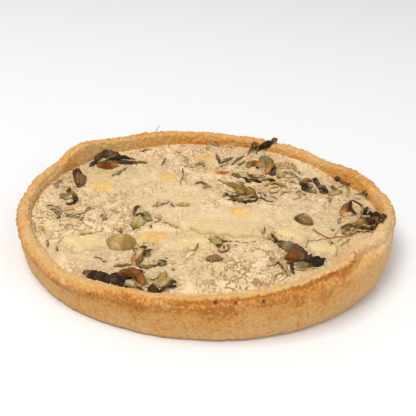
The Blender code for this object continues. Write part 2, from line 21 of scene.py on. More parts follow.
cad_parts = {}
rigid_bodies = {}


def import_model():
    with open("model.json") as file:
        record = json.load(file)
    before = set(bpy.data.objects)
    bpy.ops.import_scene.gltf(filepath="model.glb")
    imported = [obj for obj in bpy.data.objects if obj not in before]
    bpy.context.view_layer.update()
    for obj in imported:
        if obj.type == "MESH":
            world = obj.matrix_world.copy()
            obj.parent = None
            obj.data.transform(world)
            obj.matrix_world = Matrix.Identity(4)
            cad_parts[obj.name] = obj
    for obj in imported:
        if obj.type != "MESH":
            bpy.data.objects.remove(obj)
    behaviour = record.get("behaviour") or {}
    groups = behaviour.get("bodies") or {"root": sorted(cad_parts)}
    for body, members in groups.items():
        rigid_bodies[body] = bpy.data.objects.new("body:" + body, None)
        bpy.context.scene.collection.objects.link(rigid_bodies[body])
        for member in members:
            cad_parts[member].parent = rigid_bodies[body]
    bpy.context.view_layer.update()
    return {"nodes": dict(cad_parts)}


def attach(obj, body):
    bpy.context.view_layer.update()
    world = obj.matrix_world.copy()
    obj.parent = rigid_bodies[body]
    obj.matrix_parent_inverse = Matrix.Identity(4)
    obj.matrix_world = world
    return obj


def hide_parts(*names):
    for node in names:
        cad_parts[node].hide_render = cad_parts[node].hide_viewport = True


bl_info = {
    "name": "Asparagus quiche",
    "version": (1, 1, 0),
    "blender": (4, 5, 0),
    "location": "3D View > Sidebar > Quiche",
    "description": "Bakes the crust, filling, asparagus, buds and leaves of a quiche on its solids",
    "category": "Add Mesh",
}

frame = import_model()

MM = 0.001
BODY = "root"

# ---------------------------------------------------------------- camera

PICTURE_SIDE = 416          # pixels of the reference picture
SENSOR = 36.0               # millimetres
CAMERA_TARGET = Vector((0.0009, 0.0474, 0.0))             # metres, on the floor
CAMERA_DISTANCE = 0.600     # metres from there
CAMERA_ELEVATION = math.radians(26.05)
CAMERA_ROLL = 0.033         # radians
RAY_TOP = 0.2               # metres: vertical rays start this high, above everything

# ---------------------------------------------------------------- stage, in metres

FLOOR_SIDE = 8.0
# A softbox's power is its share of the key light's.
Softbox = namedtuple("Softbox", "name place size share")
SOFTBOXES = (
    Softbox("softbox_key", (-0.7, -0.5, 2.2), 1.4, 1.0),
    Softbox("softbox_fill", (1.4, -1.8, 1.4), 1.8, 0.35),
)

# ---------------------------------------------------------------- sizes, in millimetres

CRUST_COLUMNS = 960         # steps round the crust
CRUST_STEPS = (3, 6, 8, 12, 4, 4, 4, 3, 4, 4, 9, 2, 2)    # steps between the solid's rows
CREST_ROW = 8               # the solid's row that runs along the crest
SHORE_ROW = 11              # and the one where the filling meets the wall
FLOOR_THICKNESS = 4.5
HUB_REACH = 50.0            # a section of the wall has no corner nearer the middle than this
FOOT_HEIGHT = 0.01          # corners lower than this lie on the ground

FILLING_ROWS = 304
FILLING_LEVEL = 22.8        # height of the skin far from the wall
SHORE_BLEND = 22.0          # how far from the wall it has reached that height
EDGE_OVERLAP = 0.9          # how far the filling reaches into the wall
FILLING_RELIEF = 0.55       # height of its wide swells
FILLING_GRAIN = 0.045       # and how often they come, for each millimetre
FILLING_SLICE = 3.7         # where the noise behind them is cut
MOUND_FOOT = 1.3            # a mound ends at this many half widths
CLIMB_SHARE = 0.45          # the custard climbs a piece by this share of what stands out
CLIMB_LIMIT = 0.9           # but no further than this
LENS_EDGE = 0.34            # softness of a sunk piece's outline, as a share of its reach
CRUMB_REACH = 1.5           # a crumb of custard lies no higher than this over the skin
BODY_FLOOR = 6.0            # height of the filling's plain underside
BODY_TAPER = 0.975          # and its width as a share of the skin's

FLESH_AROUND = 36           # faces round an asparagus piece or a bud
STALK_AROUND = 10
CRUMB_GRID = (7, 10)        # rings of a crumb, and points in each
SHEET_STEP = 0.7            # between the rows of a leaf's sheet
STALK_STEP = 0.6
SIGHT_STEP = 0.3            # steps back along a line of sight to a mark's height
FRAGMENT_CREAM = 0.45       # share of cream in the tone of a torn bit
FRAGMENT_SPREAD = 4.2       # how far torn bits lie from the leaves' marks
CRUMB_SPREAD = 3.4
SHORE_GAP = 1.5             # torn bits and crumbs stay this far from the wall
FRAGMENT_DRAW = 7           # starts of the random draws
CRUMB_DRAW = 11
LEAF_SALT = 5               # and of the noise that shapes each sheet
SHRED_SALT = 301
FRAGMENT_SALT = 901

# Long swellings over what is sunk below the surface: middle, heading, half sizes, rise.
Mound = namedtuple("Mound", "x y heading half_length half_width rise")
MOUNDS = (
    Mound(19, -30, -4, 25, 8.5, 3.4),
    Mound(-8, -50, 4, 22, 10, 1.4),
    Mound(-74, -54, 5, 20, 9, 1.2),
    Mound(-2, -92, 0, 15, 7, 1.0),
    Mound(-88, -10, 0, 14, 9, 0.9),
    Mound(60, -42, -45, 18, 8, 1.0),
    Mound(74, -54, -10, 12, 9, 1.0),
    Mound(-60, 52, 10, 40, 14, 0.8),
)

# Where the skin is rougher or smoother than elsewhere: middle, reach, how much.
Patch = namedtuple("Patch", "x y reach amount")
ROUGH_PATCHES = (
    Patch(-108, 30, 16, 1.3),
    Patch(-98, -22, 24, 1.0),
    Patch(-60, -20, 22, 0.4),
    Patch(30, -85, 34, 0.7),
    Patch(62, 30, 34, 0.3),
    Patch(-20, 95, 30, 0.5),
    Patch(20, -80, 14, 0.6),
    Patch(5, 68, 22, 0.3),
    Patch(-15, -14, 26, -0.3),
    Patch(20, -30, 20, -0.8),
    Patch(-5, -50, 14, -0.5),
    Patch(-25, -92, 12, -0.4),
    Patch(60, -5, 24, -0.4),
    Patch(-30, 40, 22, -0.3),
    Patch(80, -60, 20, -0.2),
)

# Faint golden places where a sunk piece almost shows.
GOLDEN_PATCHES = (
    Patch(-106, -30, 7, 0.5),
    Patch(-93, -6, 6, 0.4),
    Patch(-2, -90, 12, 0.12),
    Patch(60, -30, 10, 0.4),
    Patch(36, 76, 8, 0.3),
    Patch(88, -38, 12, 0.4),
    Patch(-30, 20, 14, 0.2),
    Patch(-5, -38, 16, 0.3),
)

# Pieces left this bare or more keep a crisp outline.
CRISP = 0.95

# Asparagus: tone, share left bare of custard, then spots of another tone by place along and
# across (-1 to 1), reach and strength.
SPEAR_TONES = {
    "asparagus_01": ("spear", 0.6, (("gold", -0.2, 0.4, 0.5, 0.3), ("olive_light", 0.5, -0.8, 0.4, 0.35))),
    "asparagus_02": ("gold", 0.85, (("spot", -0.85, 0.0, 0.22, 0.75), ("pale", 0.6, 0.4, 0.35, 0.6))),
    "asparagus_03": ("gold", 0.85, (("spot", 0.35, 0.3, 0.25, 0.5), ("spot", 0.7, 0.5, 0.15, 0.35))),
    "asparagus_04": ("pale", 0.94, (("spot", 0.0, -0.2, 0.55, 1.0), ("gold", 0.3, -0.3, 0.7, 0.6))),
    "asparagus_05": ("gold", 1, (("spot", 0.30, -0.5, 0.70, 1.0), ("scorch", 0.28, -0.4, 0.52, 1.0))),
    "asparagus_06": ("cream", 0.4, (("gold", -0.2, 0.2, 0.5, 0.5),)),
    "asparagus_07": ("gold", 0.9, (("spot", 0.3, 0.3, 0.3, 0.5), ("pale", -0.8, 0.0, 0.35, 0.7))),
    "asparagus_08": ("gold", 0.85, (("spot", -0.7, -0.2, 0.3, 0.5), ("pale", 0.6, 0.2, 0.45, 0.7))),
    "asparagus_09": ("pale", 0.6, (("moss", -0.75, 0.7, 0.25, 0.5), ("gold", -0.2, 0.0, 0.4, 0.2))),
    "asparagus_10": ("pale", 0.8, (("gold", -0.45, 0.4, 0.35, 0.5),)),
    "asparagus_11": ("pale", 0.65, (("gold", 0.2, -0.4, 0.3, 0.5), ("spot", 0.9, -0.3, 0.2, 0.3))),
    "asparagus_12": ("pale", 1, (("gold", -0.5, 0.3, 0.35, 0.6),)),
    "asparagus_13": ("pale", 1, (("gold", 0.6, -0.2, 0.4, 0.25), ("moss", -0.9, 0.6, 0.3, 0.3))),
    "asparagus_14": ("cream", 0.45, (("gold", -0.1, 0.2, 0.3, 0.5),)),
}

# How dark a bud's outline is.
BUD_OUTLINES = {"bud_01": 0.20, "bud_02": 0.50, "bud_03": 0.25, "bud_04": 0.60, "bud_05": 0.60}

# Buds: tones in the same way.
BUD_TONES = {
    "bud_01": ("olive_light", 0.9, (("bud_brown", 0.35, -0.4, 0.5, 0.7), ("olive", -0.8, 0.2, 0.4, 0.6),
                                    ("olive", 0.2, 0.9, 0.5, 0.5), ("pale", -0.3, -0.6, 0.3, 0.3))),
    "bud_02": ("bud_grey", 1.0, (("bud_brown", -0.4, 0.0, 0.5, 0.7), ("black", 0.5, 0.9, 0.4, 0.6),
                                 ("pale", 0.25, -0.1, 0.2, 0.45), ("black", 0.95, 0.0, 0.2, 0.6))),
    "bud_03": ("bud_tan", 0.7, (("olive", 0.3, 0.5, 0.4, 0.6), ("olive", -0.9, 0.0, 0.3, 0.6))),
    "bud_04": ("bud_grey", 1.0, (("bud_brown", 0.35, 0.0, 0.6, 0.9), ("black", -0.80, 0.0, 0.50, 0.8))),
    "bud_05": ("bud_brown", 1.0, (("black", 0.3, 0.85, 0.4, 0.7), ("olive", -0.1, -0.2, 0.6, 0.6),
                                  ("black", 0.95, 0.0, 0.3, 0.7))),
}

# ---------------------------------------------------------------- marks in the picture

# A leaf has a node, a slot and sheets. A sheet has a raggedness, a roll in degrees and marks
# along its middle line. A mark gives its column and row in the picture, its height over what
# lies below and half its width, both in millimetres, and the letter of its tone.
Mark = namedtuple("Mark", "column row lift half_width tone")
Sheet = namedtuple("Sheet", "torn roll marks")
Leaf = namedtuple("Leaf", "node slot sheets")

# Tones by letter: the colour's name in the settings, and the slot of what is painted with it.
Tone = namedtuple("Tone", "name slot")
TONES = {
    "k": Tone("black", "leaf_black"), "d": Tone("dark", "leaf_dark"), "u": Tone("purple", "leaf_dark"),
    "b": Tone("brown", "leaf_brown"), "r": Tone("rust", "leaf_rust"), "a": Tone("amber", "leaf_brown"),
    "o": Tone("olive", "leaf_olive"), "m": Tone("moss", "leaf_olive"), "g": Tone("grey", "leaf_grey"),
    "p": Tone("pale_green", "leaf_pale"), "y": Tone("yellow_green", "leaf_olive"),
    "t": Tone("tan", "leaf_pale"), "w": Tone("beige", "leaf_pale"), "c": Tone("cream", "leaf_pale"),
}

LEAVES = (
    Leaf("leaf_fold_back_left", "leaf_dark", (
        Sheet(0.25, 50, ((95.5, 161, 0.8, 1.5, "d"), (99, 156.5, 2, 4.2, "u"), (104, 153.8, 3, 5.2, "d"),
            (110, 154.5, 3, 4.6, "u"), (117, 156, 2.5, 3.2, "d"), (125, 157.3, 1.5, 2, "k"),
            (135, 159.2, 0.5, 0.7, "k"))),
        # A black strip in the slit under the hood, partly painted shade there.
        Sheet(0.15, 60, ((107, 159.3, 2.2, 0.9, "k"), (113, 159, 2.6, 1.3, "k"),
            (120, 158.6, 1.4, 0.8, "k"))),
        Sheet(0.1, 50, ((106, 158.4, 3.4, 0.3, "b"), (112, 156.2, 4.2, 0.4, "t"),
            (117.5, 155.8, 3.4, 0.3, "b"))),
        Sheet(0.1, 50, ((97, 162.5, 2.2, 0.3, "t"), (102, 160.5, 3, 0.45, "w"), (107, 159.5, 3, 0.3, "t"))),
        # The leaf's dark left tip, partly painted shade at the foot of the wall beside it.
        Sheet(0.15, 20, ((89, 166.4, 0.4, 1.1, "b"), (93, 163.6, 1, 2.2, "d"), (97, 160.4, 1.6, 2.4, "k"))),
        Sheet(0.2, 50, ((97.5, 161.5, 1.2, 1.5, "d"), (105, 162.3, 2, 2.6, "u"), (112, 162.6, 2, 2.6, "b"),
            (119, 161.6, 1.4, 1.8, "d"))),
        Sheet(0.15, 40, ((96.5, 164, 1, 2, "a"), (102, 165.6, 1.8, 4, "r"), (110, 166.6, 1.8, 4.4, "r"),
            (118, 164.6, 1.4, 3, "a"))),
        Sheet(0.2, 0, ((118, 159.6, 1.2, 2.6, "k"), (124, 160.6, 1.4, 3.6, "d"), (130, 161.6, 1.2, 3, "d"),
            (138, 162, 0.9, 2, "b"), (147, 162.4, 0.5, 1.3, "o"))),
    )),
    Leaf("leaf_brown_left", "leaf_brown", (
        Sheet(0.25, 0, ((78.5, 168, 2.5, 1.6, "u"), (78.5, 172, 3, 2.8, "d"), (80, 176.5, 3, 4.4, "b"),
            (79.5, 181.5, 2, 3.6, "b"), (77, 186.8, 0.6, 1.4, "d"))),
        Sheet(0.3, 0, ((77, 173.5, 4.2, 0.8, "a"), (78, 178, 4, 1.1, "b"), (77.5, 183, 2.6, 0.8, "a"))),
        Sheet(0.3, 0, ((76.5, 168, 1.6, 1.4, "k"), (75, 172, 2.2, 1.7, "d"), (73.8, 177, 1.2, 1.2, "d"))),
    )),
    Leaf("leaf_grey_left", "leaf_grey", (
        Sheet(0.2, 0, ((67.5, 192, 0.5, 1.5, "b"), (69, 189.6, 1.6, 1.6, "d"), (70.6, 187.2, 2, 0.5, "u"))),
        Sheet(0.3, 0, ((71, 189.5, 1.4, 1.3, "a"), (73.5, 193, 1.8, 1.5, "o"), (75.8, 197.5, 1.6, 1.8, "d"),
            (74.3, 200.6, 1.3, 1.9, "k"), (70, 203.3, 0.8, 1.8, "d"), (66, 202, 0.4, 1.2, "o"))),
        Sheet(0.25, 0, ((60, 194.5, 0.3, 2.6, "g"), (66, 195.5, 0.9, 5.6, "g"), (72, 196.5, 1, 3.6, "p"))),
    )),
    Leaf("leaf_wedge_left", "leaf_grey", (
        Sheet(0.15, 0, ((133.4, 214.5, 0.5, 1.2, "g"), (135, 210, 2, 1.4, "d"), (137.3, 206.6, 3, 1.3, "d"),
            (139.5, 206, 3, 1.1, "g"), (141.5, 208, 2.4, 1, "w"))),
        Sheet(0.15, 0, ((138.5, 207.5, 2.2, 1.8, "m"), (140, 211, 2, 3.6, "p"),
            (141, 213.5, 1.6, 3.6, "m"))),
        Sheet(0.15, 0, ((135.6, 215.5, 1.2, 0.9, "d"), (138, 213.4, 2.4, 1, "k"),
            (141.5, 213.2, 2.6, 1, "d"), (145, 215.5, 2.2, 1.2, "d"))),
        Sheet(0.15, 0, ((140.5, 214.8, 1.8, 3.8, "m"), (139, 219, 1.8, 5.2, "p"),
            (136.5, 223.5, 1.4, 4, "m"), (134.3, 227.5, 0.8, 1.8, "o"), (132.8, 230, 0.3, 0.8, "d"))),
        Sheet(0.2, 0, ((144, 210.5, 1.6, 1.6, "t"), (146.5, 215, 1.8, 3.4, "g"), (150, 218.2, 1.2, 3, "m"),
            (153.2, 219.5, 0.4, 1.2, "g"))),
    )),
    Leaf("leaf_curl_front_left", "leaf_brown", (
        Sheet(0.15, 20, ((132.5, 262.5, 0.5, 1.2, "y"), (134, 258.5, 1.2, 2.2, "a"),
            (137, 255, 2.6, 2.8, "t"), (140, 251.5, 4.2, 2.6, "w"), (143.5, 248, 5, 2, "b"))),
        Sheet(0.15, 20, ((134, 255.5, 1.8, 0.7, "o"), (138, 252, 3.8, 0.7, "b"),
            (141, 249.5, 4.8, 0.7, "d"))),
        Sheet(0.15, 10, ((136, 264.5, 0.5, 1, "b"), (139, 260, 1.2, 1.5, "b"),
            (140.8, 256.5, 2.4, 1.3, "o"), (142.5, 252, 3.8, 0.9, "d"))),
        Sheet(0.25, 0, ((139.8, 247.2, 4.6, 1.6, "b"), (143, 246.8, 5, 2.2, "d"),
            (146.8, 247.6, 4.2, 1.8, "d"))),
        Sheet(0.3, 0, ((146, 249, 4, 2, "d"), (146.5, 252, 2.6, 2.4, "b"), (147.5, 255.5, 0.8, 1.6, "g"))),
        Sheet(0.2, 0, ((133.8, 250, 0.6, 1.2, "o"), (136.5, 247.8, 0.8, 1.6, "o"))),
        Sheet(0.2, 0, ((149, 248.5, 1, 0.9, "o"), (152.5, 249.5, 0.4, 0.7, "o"))),
    )),
    Leaf("leaf_ribbon_front_left", "leaf_dark", (
        Sheet(0.05, 25, ((83, 270.8, 1.6, 3.4, "r"), (87, 271.6, 2, 3.9, "b"), (91, 272.8, 2.2, 3.9, "k"),
            (97, 274.4, 2.2, 3.9, "d"), (104, 276.4, 2.2, 3.9, "k"), (111, 277.8, 2.1, 4, "d"),
            (119, 278.8, 1.9, 3.8, "k"), (126, 277.6, 1.6, 3.2, "k"), (132, 276.6, 1, 2, "k"))),
        # The black strip under the ribbon, partly a painted shadow.
        Sheet(0.12, 0, ((109, 281.8, 0.8, 1.6, "k"), (118, 283.8, 1.4, 2.8, "k"),
            (130, 286.6, 1.5, 3.4, "d"), (144, 290, 1, 1.8, "k"))),
        Sheet(0.2, 0, ((111, 273.6, 1, 0.7, "k"), (115, 272.4, 1.5, 1, "d"), (118, 272.5, 1.5, 0.8, "k"))),
    )),
    Leaf("leaf_arch_front_left", "leaf_rust", (
        Sheet(0.08, 45, ((118, 273.2, 1.8, 2.4, "b"), (122.5, 271, 4, 2.6, "r"),
            (128, 270.6, 5.6, 2.8, "r"), (134, 272.6, 6, 2.8, "r"), (138.8, 276, 5.2, 2.6, "r"),
            (141.6, 280.4, 3.4, 2.3, "a"), (142.5, 284.8, 1, 1.8, "a"))),
        Sheet(0.1, 0, ((134, 281, 1.2, 1, "a"), (138, 284, 1, 1.6, "a"), (141.5, 286, 0.8, 1.3, "a"))),
    )),
    Leaf("leaf_pale_front_left", "leaf_pale", (
        Sheet(0.2, 0, ((124.5, 280.8, 0.5, 1.6, "p"), (131, 281.6, 1.2, 2.6, "p"),
            (137, 284.8, 0.8, 2.5, "p"))),
        Sheet(0.2, 0, ((123, 284.6, 2.1, 0.6, "g"), (130, 285.4, 2.3, 0.9, "g"),
            (138, 287.6, 1.8, 0.7, "g"))),
    )),
    Leaf("leaf_dark_front", "leaf_dark", (
        Sheet(0.2, 40, ((147.8, 287.5, 1.2, 2.6, "k"), (150.5, 288.2, 2, 3.4, "d"),
            (155, 289.6, 1.8, 3, "d"), (159, 291, 1, 1.8, "k"))),
    )),
    Leaf("leaf_twist_front", "leaf_dark", (
        Sheet(0.12, 45, ((157, 291, 0.8, 1.2, "k"), (162, 289.6, 1.6, 1, "d"), (166, 286.4, 2.8, 1, "u"),
            (170, 283, 3.6, 1.2, "u"), (174.2, 281, 3.8, 1.4, "d"), (176, 283, 2.8, 1.2, "k"))),
        Sheet(0.1, 20, ((168, 287, 1.4, 0.7, "d"), (172, 286, 1.6, 0.8, "d"),
            (176.5, 285.8, 1.4, 0.8, "k"))),
        Sheet(0.1, 45, ((163, 286.8, 2.8, 0.6, "g"), (168, 282, 4.2, 0.6, "m"), (173, 279, 4.6, 0.5, "g"))),
    )),
    Leaf("leaf_striped_front", "leaf_pale", (
        Sheet(0.15, 0, ((144, 275, 1, 1.8, "p"), (148.5, 280, 1.4, 2.4, "m"),
            (152.5, 284.5, 0.8, 1.6, "p"))),
        Sheet(0.15, 0, ((153.5, 284.5, 0.8, 1.8, "m"), (158, 280.5, 2, 2.2, "m"), (163, 275.5, 3, 2.2, "m"),
            (165.5, 271, 2, 1.2, "y"))),
        Sheet(0.15, 0, ((152, 279, 1.2, 1.6, "p"), (156, 274.5, 2, 2, "p"), (160, 271, 1.4, 1.4, "p"))),
        Sheet(0.15, 30, ((155, 287, 1, 1, "m"), (161, 283.5, 2.4, 1.7, "t"), (167, 279.5, 3.6, 1.7, "m"),
            (172.5, 276.8, 3.4, 1.2, "w"))),
        Sheet(0.15, 30, ((160, 286.5, 1.8, 0.7, "p"), (165, 283, 3, 0.8, "w"), (170, 279.2, 4, 0.7, "o"))),
    )),
    Leaf("leaf_strip_front", "leaf_olive", (
        Sheet(0.15, 0, ((113.5, 266, 0.3, 1.1, "a"), (119, 265, 0.6, 1.6, "o"), (126, 264.2, 0.6, 1.4, "b"),
            (132, 263.8, 0.3, 1, "g"))),
        Sheet(0.15, 0, ((137, 264.4, 0.4, 1.3, "b"), (142, 265.2, 0.8, 1.9, "o"),
            (150, 265.2, 0.8, 1.7, "o"), (158, 264.4, 0.6, 1.2, "d"))),
        Sheet(0.1, 0, ((158.3, 263.2, 1, 2.6, "d"), (162.3, 262.8, 1, 2.8, "g"),
            (166.5, 263.2, 0.8, 2, "o"))),
        Sheet(0.1, 0, ((158, 260.3, 1.6, 0.5, "k"), (162.5, 259.8, 1.6, 0.5, "d"),
            (167, 261.5, 1.2, 0.5, "d"))),
    )),
    Leaf("leaf_olive_middle", "leaf_olive", (
        Sheet(0.15, 0, ((211, 236, 0.3, 1.6, "p"), (215, 239, 0.6, 4, "m"), (217.5, 243, 0.6, 3.4, "m"),
            (219, 247.5, 0.6, 1.6, "m"))),
        Sheet(0.12, 0, ((215.5, 236, 1.4, 0.9, "m"), (219.5, 237.8, 1.8, 1.1, "y"),
            (223, 240, 1.2, 0.9, "o"), (228, 240.6, 0.6, 0.7, "o"))),
        Sheet(0.2, 0, ((216.2, 243.8, 1.2, 0.9, "o"), (218.6, 244.6, 1.6, 1.3, "d"),
            (220.5, 243, 1.2, 0.7, "m"))),
        Sheet(0.12, 0, ((218, 249.6, 0.5, 0.7, "o"), (222, 251, 0.9, 0.9, "o"), (226.5, 249.6, 1, 0.9, "o"),
            (229, 247.2, 0.8, 0.6, "g"), (227, 244, 0.6, 0.5, "g"))),
        Sheet(0.1, 0, ((223.6, 248, 0.8, 0.5, "d"), (224.3, 244.6, 1, 0.5, "g"))),
    )),
    Leaf("leaf_band_middle", "leaf_olive", (
        Sheet(0.2, 30, ((218, 179.5, 0.4, 1.2, "a"), (224, 181.4, 1, 1.9, "m"), (231, 183.6, 1.8, 2.6, "o"),
            (238, 186, 2.6, 3.0, "o"), (244.5, 189.6, 3.2, 3.8, "b"), (250.5, 192.5, 3.2, 4.0, "o"),
            (256, 195.8, 1.8, 2.6, "b"), (259, 198.4, 0.5, 1.2, "d"))),
        Sheet(0.3, 0, ((223, 196.5, 0.6, 1.4, "y"), (226, 193.5, 1.2, 1.6, "d"), (230, 194.8, 1, 1.2, "b"),
            (236, 194.8, 1.4, 1.5, "b"), (240.5, 193.6, 2, 1.5, "u"))),
        Sheet(0.2, 40, ((233, 187.5, 3, 0.8, "k"), (240, 190.5, 4, 1, "y"), (246, 193.5, 4, 1.1, "d"))),
        Sheet(0.2, 40, ((244, 187, 4.2, 0.9, "a"), (250, 190, 4.6, 1.1, "y"), (255, 194, 3, 0.9, "d"))),
        Sheet(0.1, 0, ((226, 188.5, 0.8, 1.6, "w"), (232, 190.5, 1, 2.4, "w"), (238, 192, 1, 1.6, "t"))),
        Sheet(0.1, 30, ((241, 196, 1.4, 0.5, "t"), (247, 195.8, 2.6, 0.6, "t"),
            (253, 194.6, 2.6, 0.5, "w"))),
    )),
    Leaf("leaf_ragged_middle", "leaf_dark", (
        Sheet(0.5, 0, ((228.5, 199.6, 0.3, 1, "g"), (234, 198, 0.8, 1.8, "d"), (240, 199.2, 1, 2.4, "o"),
            (245, 200.8, 1, 2.6, "k"), (251, 200.4, 1, 2.6, "d"), (257, 199, 0.8, 1.6, "k"))),
        Sheet(0.4, 0, ((260, 197, 0.5, 1.1, "k"), (264, 199, 0.6, 0.9, "u"), (268, 200.6, 0.5, 0.8, "g"),
            (274, 201, 0.3, 0.6, "g"))),
    )),
    Leaf("leaf_ragged_back", "leaf_dark", (
        Sheet(0.3, 0, ((231.5, 174.8, 0.5, 0.9, "k"), (237, 174, 1.6, 1.9, "o"),
            (242, 176.3, 1.6, 2.4, "u"), (247, 179.5, 1.4, 2.4, "k"), (251, 181.2, 0.8, 1.4, "k"))),
        Sheet(0.15, 25, ((246.5, 173.6, 1.8, 0.7, "a"), (252, 174.8, 2.6, 1.4, "r"),
            (258, 175.4, 2.4, 1.3, "t"), (263.5, 175.4, 1.2, 0.7, "b"))),
        Sheet(0.4, 0, ((247.5, 177.4, 1.2, 1.6, "m"), (252.5, 178, 1.6, 2.4, "o"),
            (257.5, 179.6, 1.4, 2.2, "k"), (262, 181.2, 0.8, 1.6, "k"))),
        Sheet(0.4, 0, ((262, 179.6, 1.2, 1.6, "o"), (267, 178.4, 1.5, 1.8, "m"),
            (271.5, 178.6, 1.4, 1.8, "k"), (276, 179.6, 0.7, 1.2, "o"))),
        Sheet(0.1, 20, ((232, 172.6, 0.6, 1.2, "c"), (237, 170.4, 2, 2.4, "c"), (240, 168.6, 2, 2, "c"),
            (244, 172, 1, 1, "c"))),
        Sheet(0.1, 20, ((236, 181.5, 0.6, 1.4, "c"), (240.5, 179.3, 2.4, 2.4, "c"),
            (245.5, 182.5, 1, 1.4, "w"))),
    )),
    Leaf("leaf_rust_back", "leaf_brown", (
        Sheet(0.2, 30, ((246.5, 167.2, 0.6, 1.8, "y"), (250, 164.6, 1.8, 3.4, "o"),
            (254.5, 162, 3, 4.2, "r"), (259, 163.6, 2.6, 4, "a"), (263, 167, 0.8, 1.8, "y"))),
        Sheet(0.2, 0, ((256, 166.5, 1.6, 1, "k"), (259.5, 167.6, 1.6, 1.2, "k"))),
    )),
    Leaf("leaf_bent_back", "leaf_olive", (
        Sheet(0.12, 20, ((259.5, 160, 0.6, 0.9, "g"), (262.5, 156.4, 1.6, 2, "g"),
            (266.5, 158, 2.4, 3.4, "g"), (268.5, 163, 2.6, 4.4, "o"), (267.5, 169, 2, 3.6, "a"),
            (265.5, 174, 0.8, 1.8, "a"))),
        Sheet(0.1, 0, ((262.5, 162, 1, 1.6, "c"), (263.8, 167, 1.2, 1.8, "g"), (263, 172, 0.6, 1, "c"))),
    )),
    Leaf("leaf_purple_back", "leaf_dark", (
        Sheet(0.25, 0, ((274, 165.5, 1.2, 1.8, "b"), (273.2, 168.5, 1.8, 3, "u"),
            (272.5, 172.5, 1.6, 3, "u"), (276, 175.2, 0.6, 1.4, "k"))),
        Sheet(0.3, 0, ((277.5, 174.5, 0.6, 1.2, "o"), (279.5, 178, 0.6, 1.2, "o"))),
    )),
    Leaf("leaf_arc_back_1", "leaf_grey", (
        Sheet(0.1, 0, ((216.5, 153.6, 0.5, 0.8, "d"), (218, 157, 1.2, 1.5, "g"), (219.3, 161, 1, 0.9, "d"),
            (219.6, 164, 0.3, 0.5, "d"))),
        Sheet(0.1, 0, ((220.5, 164.2, 0.4, 0.9, "g"), (224, 160.6, 1.2, 1.8, "u"),
            (228.5, 158.3, 1.4, 1.6, "g"), (233.5, 157, 0.8, 0.7, "d"))),
        Sheet(0.1, 0, ((219.5, 166.8, 0.3, 0.9, "g"), (225, 165, 0.6, 1, "m"), (228, 161.5, 0.8, 1, "m"))),
    )),
    Leaf("leaf_arc_back_2", "leaf_grey", (
        Sheet(0.1, 0, ((231, 165, 0.4, 0.9, "o"), (235, 160.8, 1.2, 1.1, "o"), (239.5, 157.6, 1.4, 1, "o"),
            (244, 155.8, 0.6, 0.7, "m"))),
        Sheet(0.1, 0, ((237.5, 164.6, 0.4, 1.2, "g"), (241, 163.2, 0.9, 1.3, "g"),
            (245, 160.6, 0.6, 0.9, "g"))),
    )),
    Leaf("leaf_over_rim", "leaf_dark", (
        Sheet(0.1, 30, ((271.8, 141.4, 2.4, 1.5, "k"), (274.8, 139.2, 3.2, 2.5, "b"),
            (277.6, 138.4, 3.4, 1.7, "r"))),
        Sheet(0.15, 45, ((255.5, 150.2, 0.8, 1.6, "d"), (259.5, 147.2, 1.6, 3.2, "k"),
            (264, 144.4, 2, 3.4, "k"), (268.5, 142.2, 2.4, 3.2, "k"), (272.6, 141.4, 2.4, 2, "k"))),
        Sheet(0.4, 30, ((247.5, 155.5, 0.4, 0.9, "a"), (250, 151, 1.2, 1.1, "b"),
            (252.5, 146.5, 1.8, 1.3, "u"), (256, 143.5, 2, 1, "b"), (259, 142.8, 1.6, 0.7, "d"))),
        Sheet(0.4, 20, ((253.5, 152.5, 0.6, 0.8, "t"), (253.2, 148, 1.6, 1, "d"),
            (254.5, 144.8, 2, 1, "b"))),
        Sheet(0.4, 0, ((256, 154, 0.5, 0.6, "g"), (257, 150.5, 1.2, 0.8, "b"),
            (258.5, 146, 1.8, 0.7, "b"))),
    )),
    Leaf("leaf_sliver_right", "leaf_olive", (
        Sheet(0.1, 0, ((264, 185.6, 0.4, 1.1, "y"), (269, 182.8, 1.2, 2, "a"), (275, 182, 1.4, 1.9, "a"),
            (281.5, 183.4, 1.2, 1.6, "y"), (288, 187.2, 0.3, 0.8, "a"))),
        Sheet(0.1, 0, ((271, 188, 0.4, 0.7, "t"), (277, 186.8, 0.9, 0.9, "m"), (283, 187, 0.5, 0.6, "a"))),
        Sheet(0.1, 0, ((280, 195.2, 0.3, 0.9, "o"), (283, 191.8, 1, 1.2, "m"), (287, 191, 0.9, 1.2, "y"),
            (290.5, 191.8, 0.3, 0.6, "o"))),
    )),
    Leaf("leaf_dark_right_1", "leaf_dark", (
        Sheet(0.15, 20, ((300, 178.2, 0.6, 0.8, "y"), (304.5, 179, 1.8, 1.4, "a"),
            (309, 179.6, 2, 1.6, "r"), (312, 180.4, 0.8, 0.8, "b"))),
        Sheet(0.35, 0, ((300.5, 180.5, 0.6, 1.6, "o"), (304, 183.5, 1.6, 3.2, "d"),
            (307, 187.5, 1.6, 3.4, "k"), (312.5, 190.3, 1, 2.6, "g"), (315.5, 189, 0.5, 1.2, "g"))),
        Sheet(0.3, 0, ((306, 182.2, 2, 1.4, "k"), (309.5, 184.5, 1.8, 1.6, "o"),
            (312, 187, 1.4, 1.6, "g"))),
    )),
    Leaf("leaf_dark_right_2", "leaf_dark", (
        Sheet(0.3, 0, ((312.6, 178.8, 0.8, 0.9, "a"), (315.5, 178.6, 2.2, 2, "k"),
            (318, 181.8, 2, 2.2, "u"), (318.5, 185.5, 1.6, 2.2, "k"))),
        Sheet(0.4, 0, ((319.5, 188.5, 1.6, 1.8, "k"), (321.5, 185, 2, 2.2, "g"),
            (324.5, 188.4, 1.8, 2.2, "k"), (325.5, 191.4, 1.2, 1.6, "d"), (328.5, 191.8, 0.5, 1, "r"))),
        Sheet(0.3, 0, ((320, 190.5, 0.8, 1.2, "k"), (323.5, 192.3, 0.7, 1.3, "b"),
            (328, 192.4, 0.4, 0.9, "r"))),
    )),
    Leaf("leaf_grey_right", "leaf_grey", (
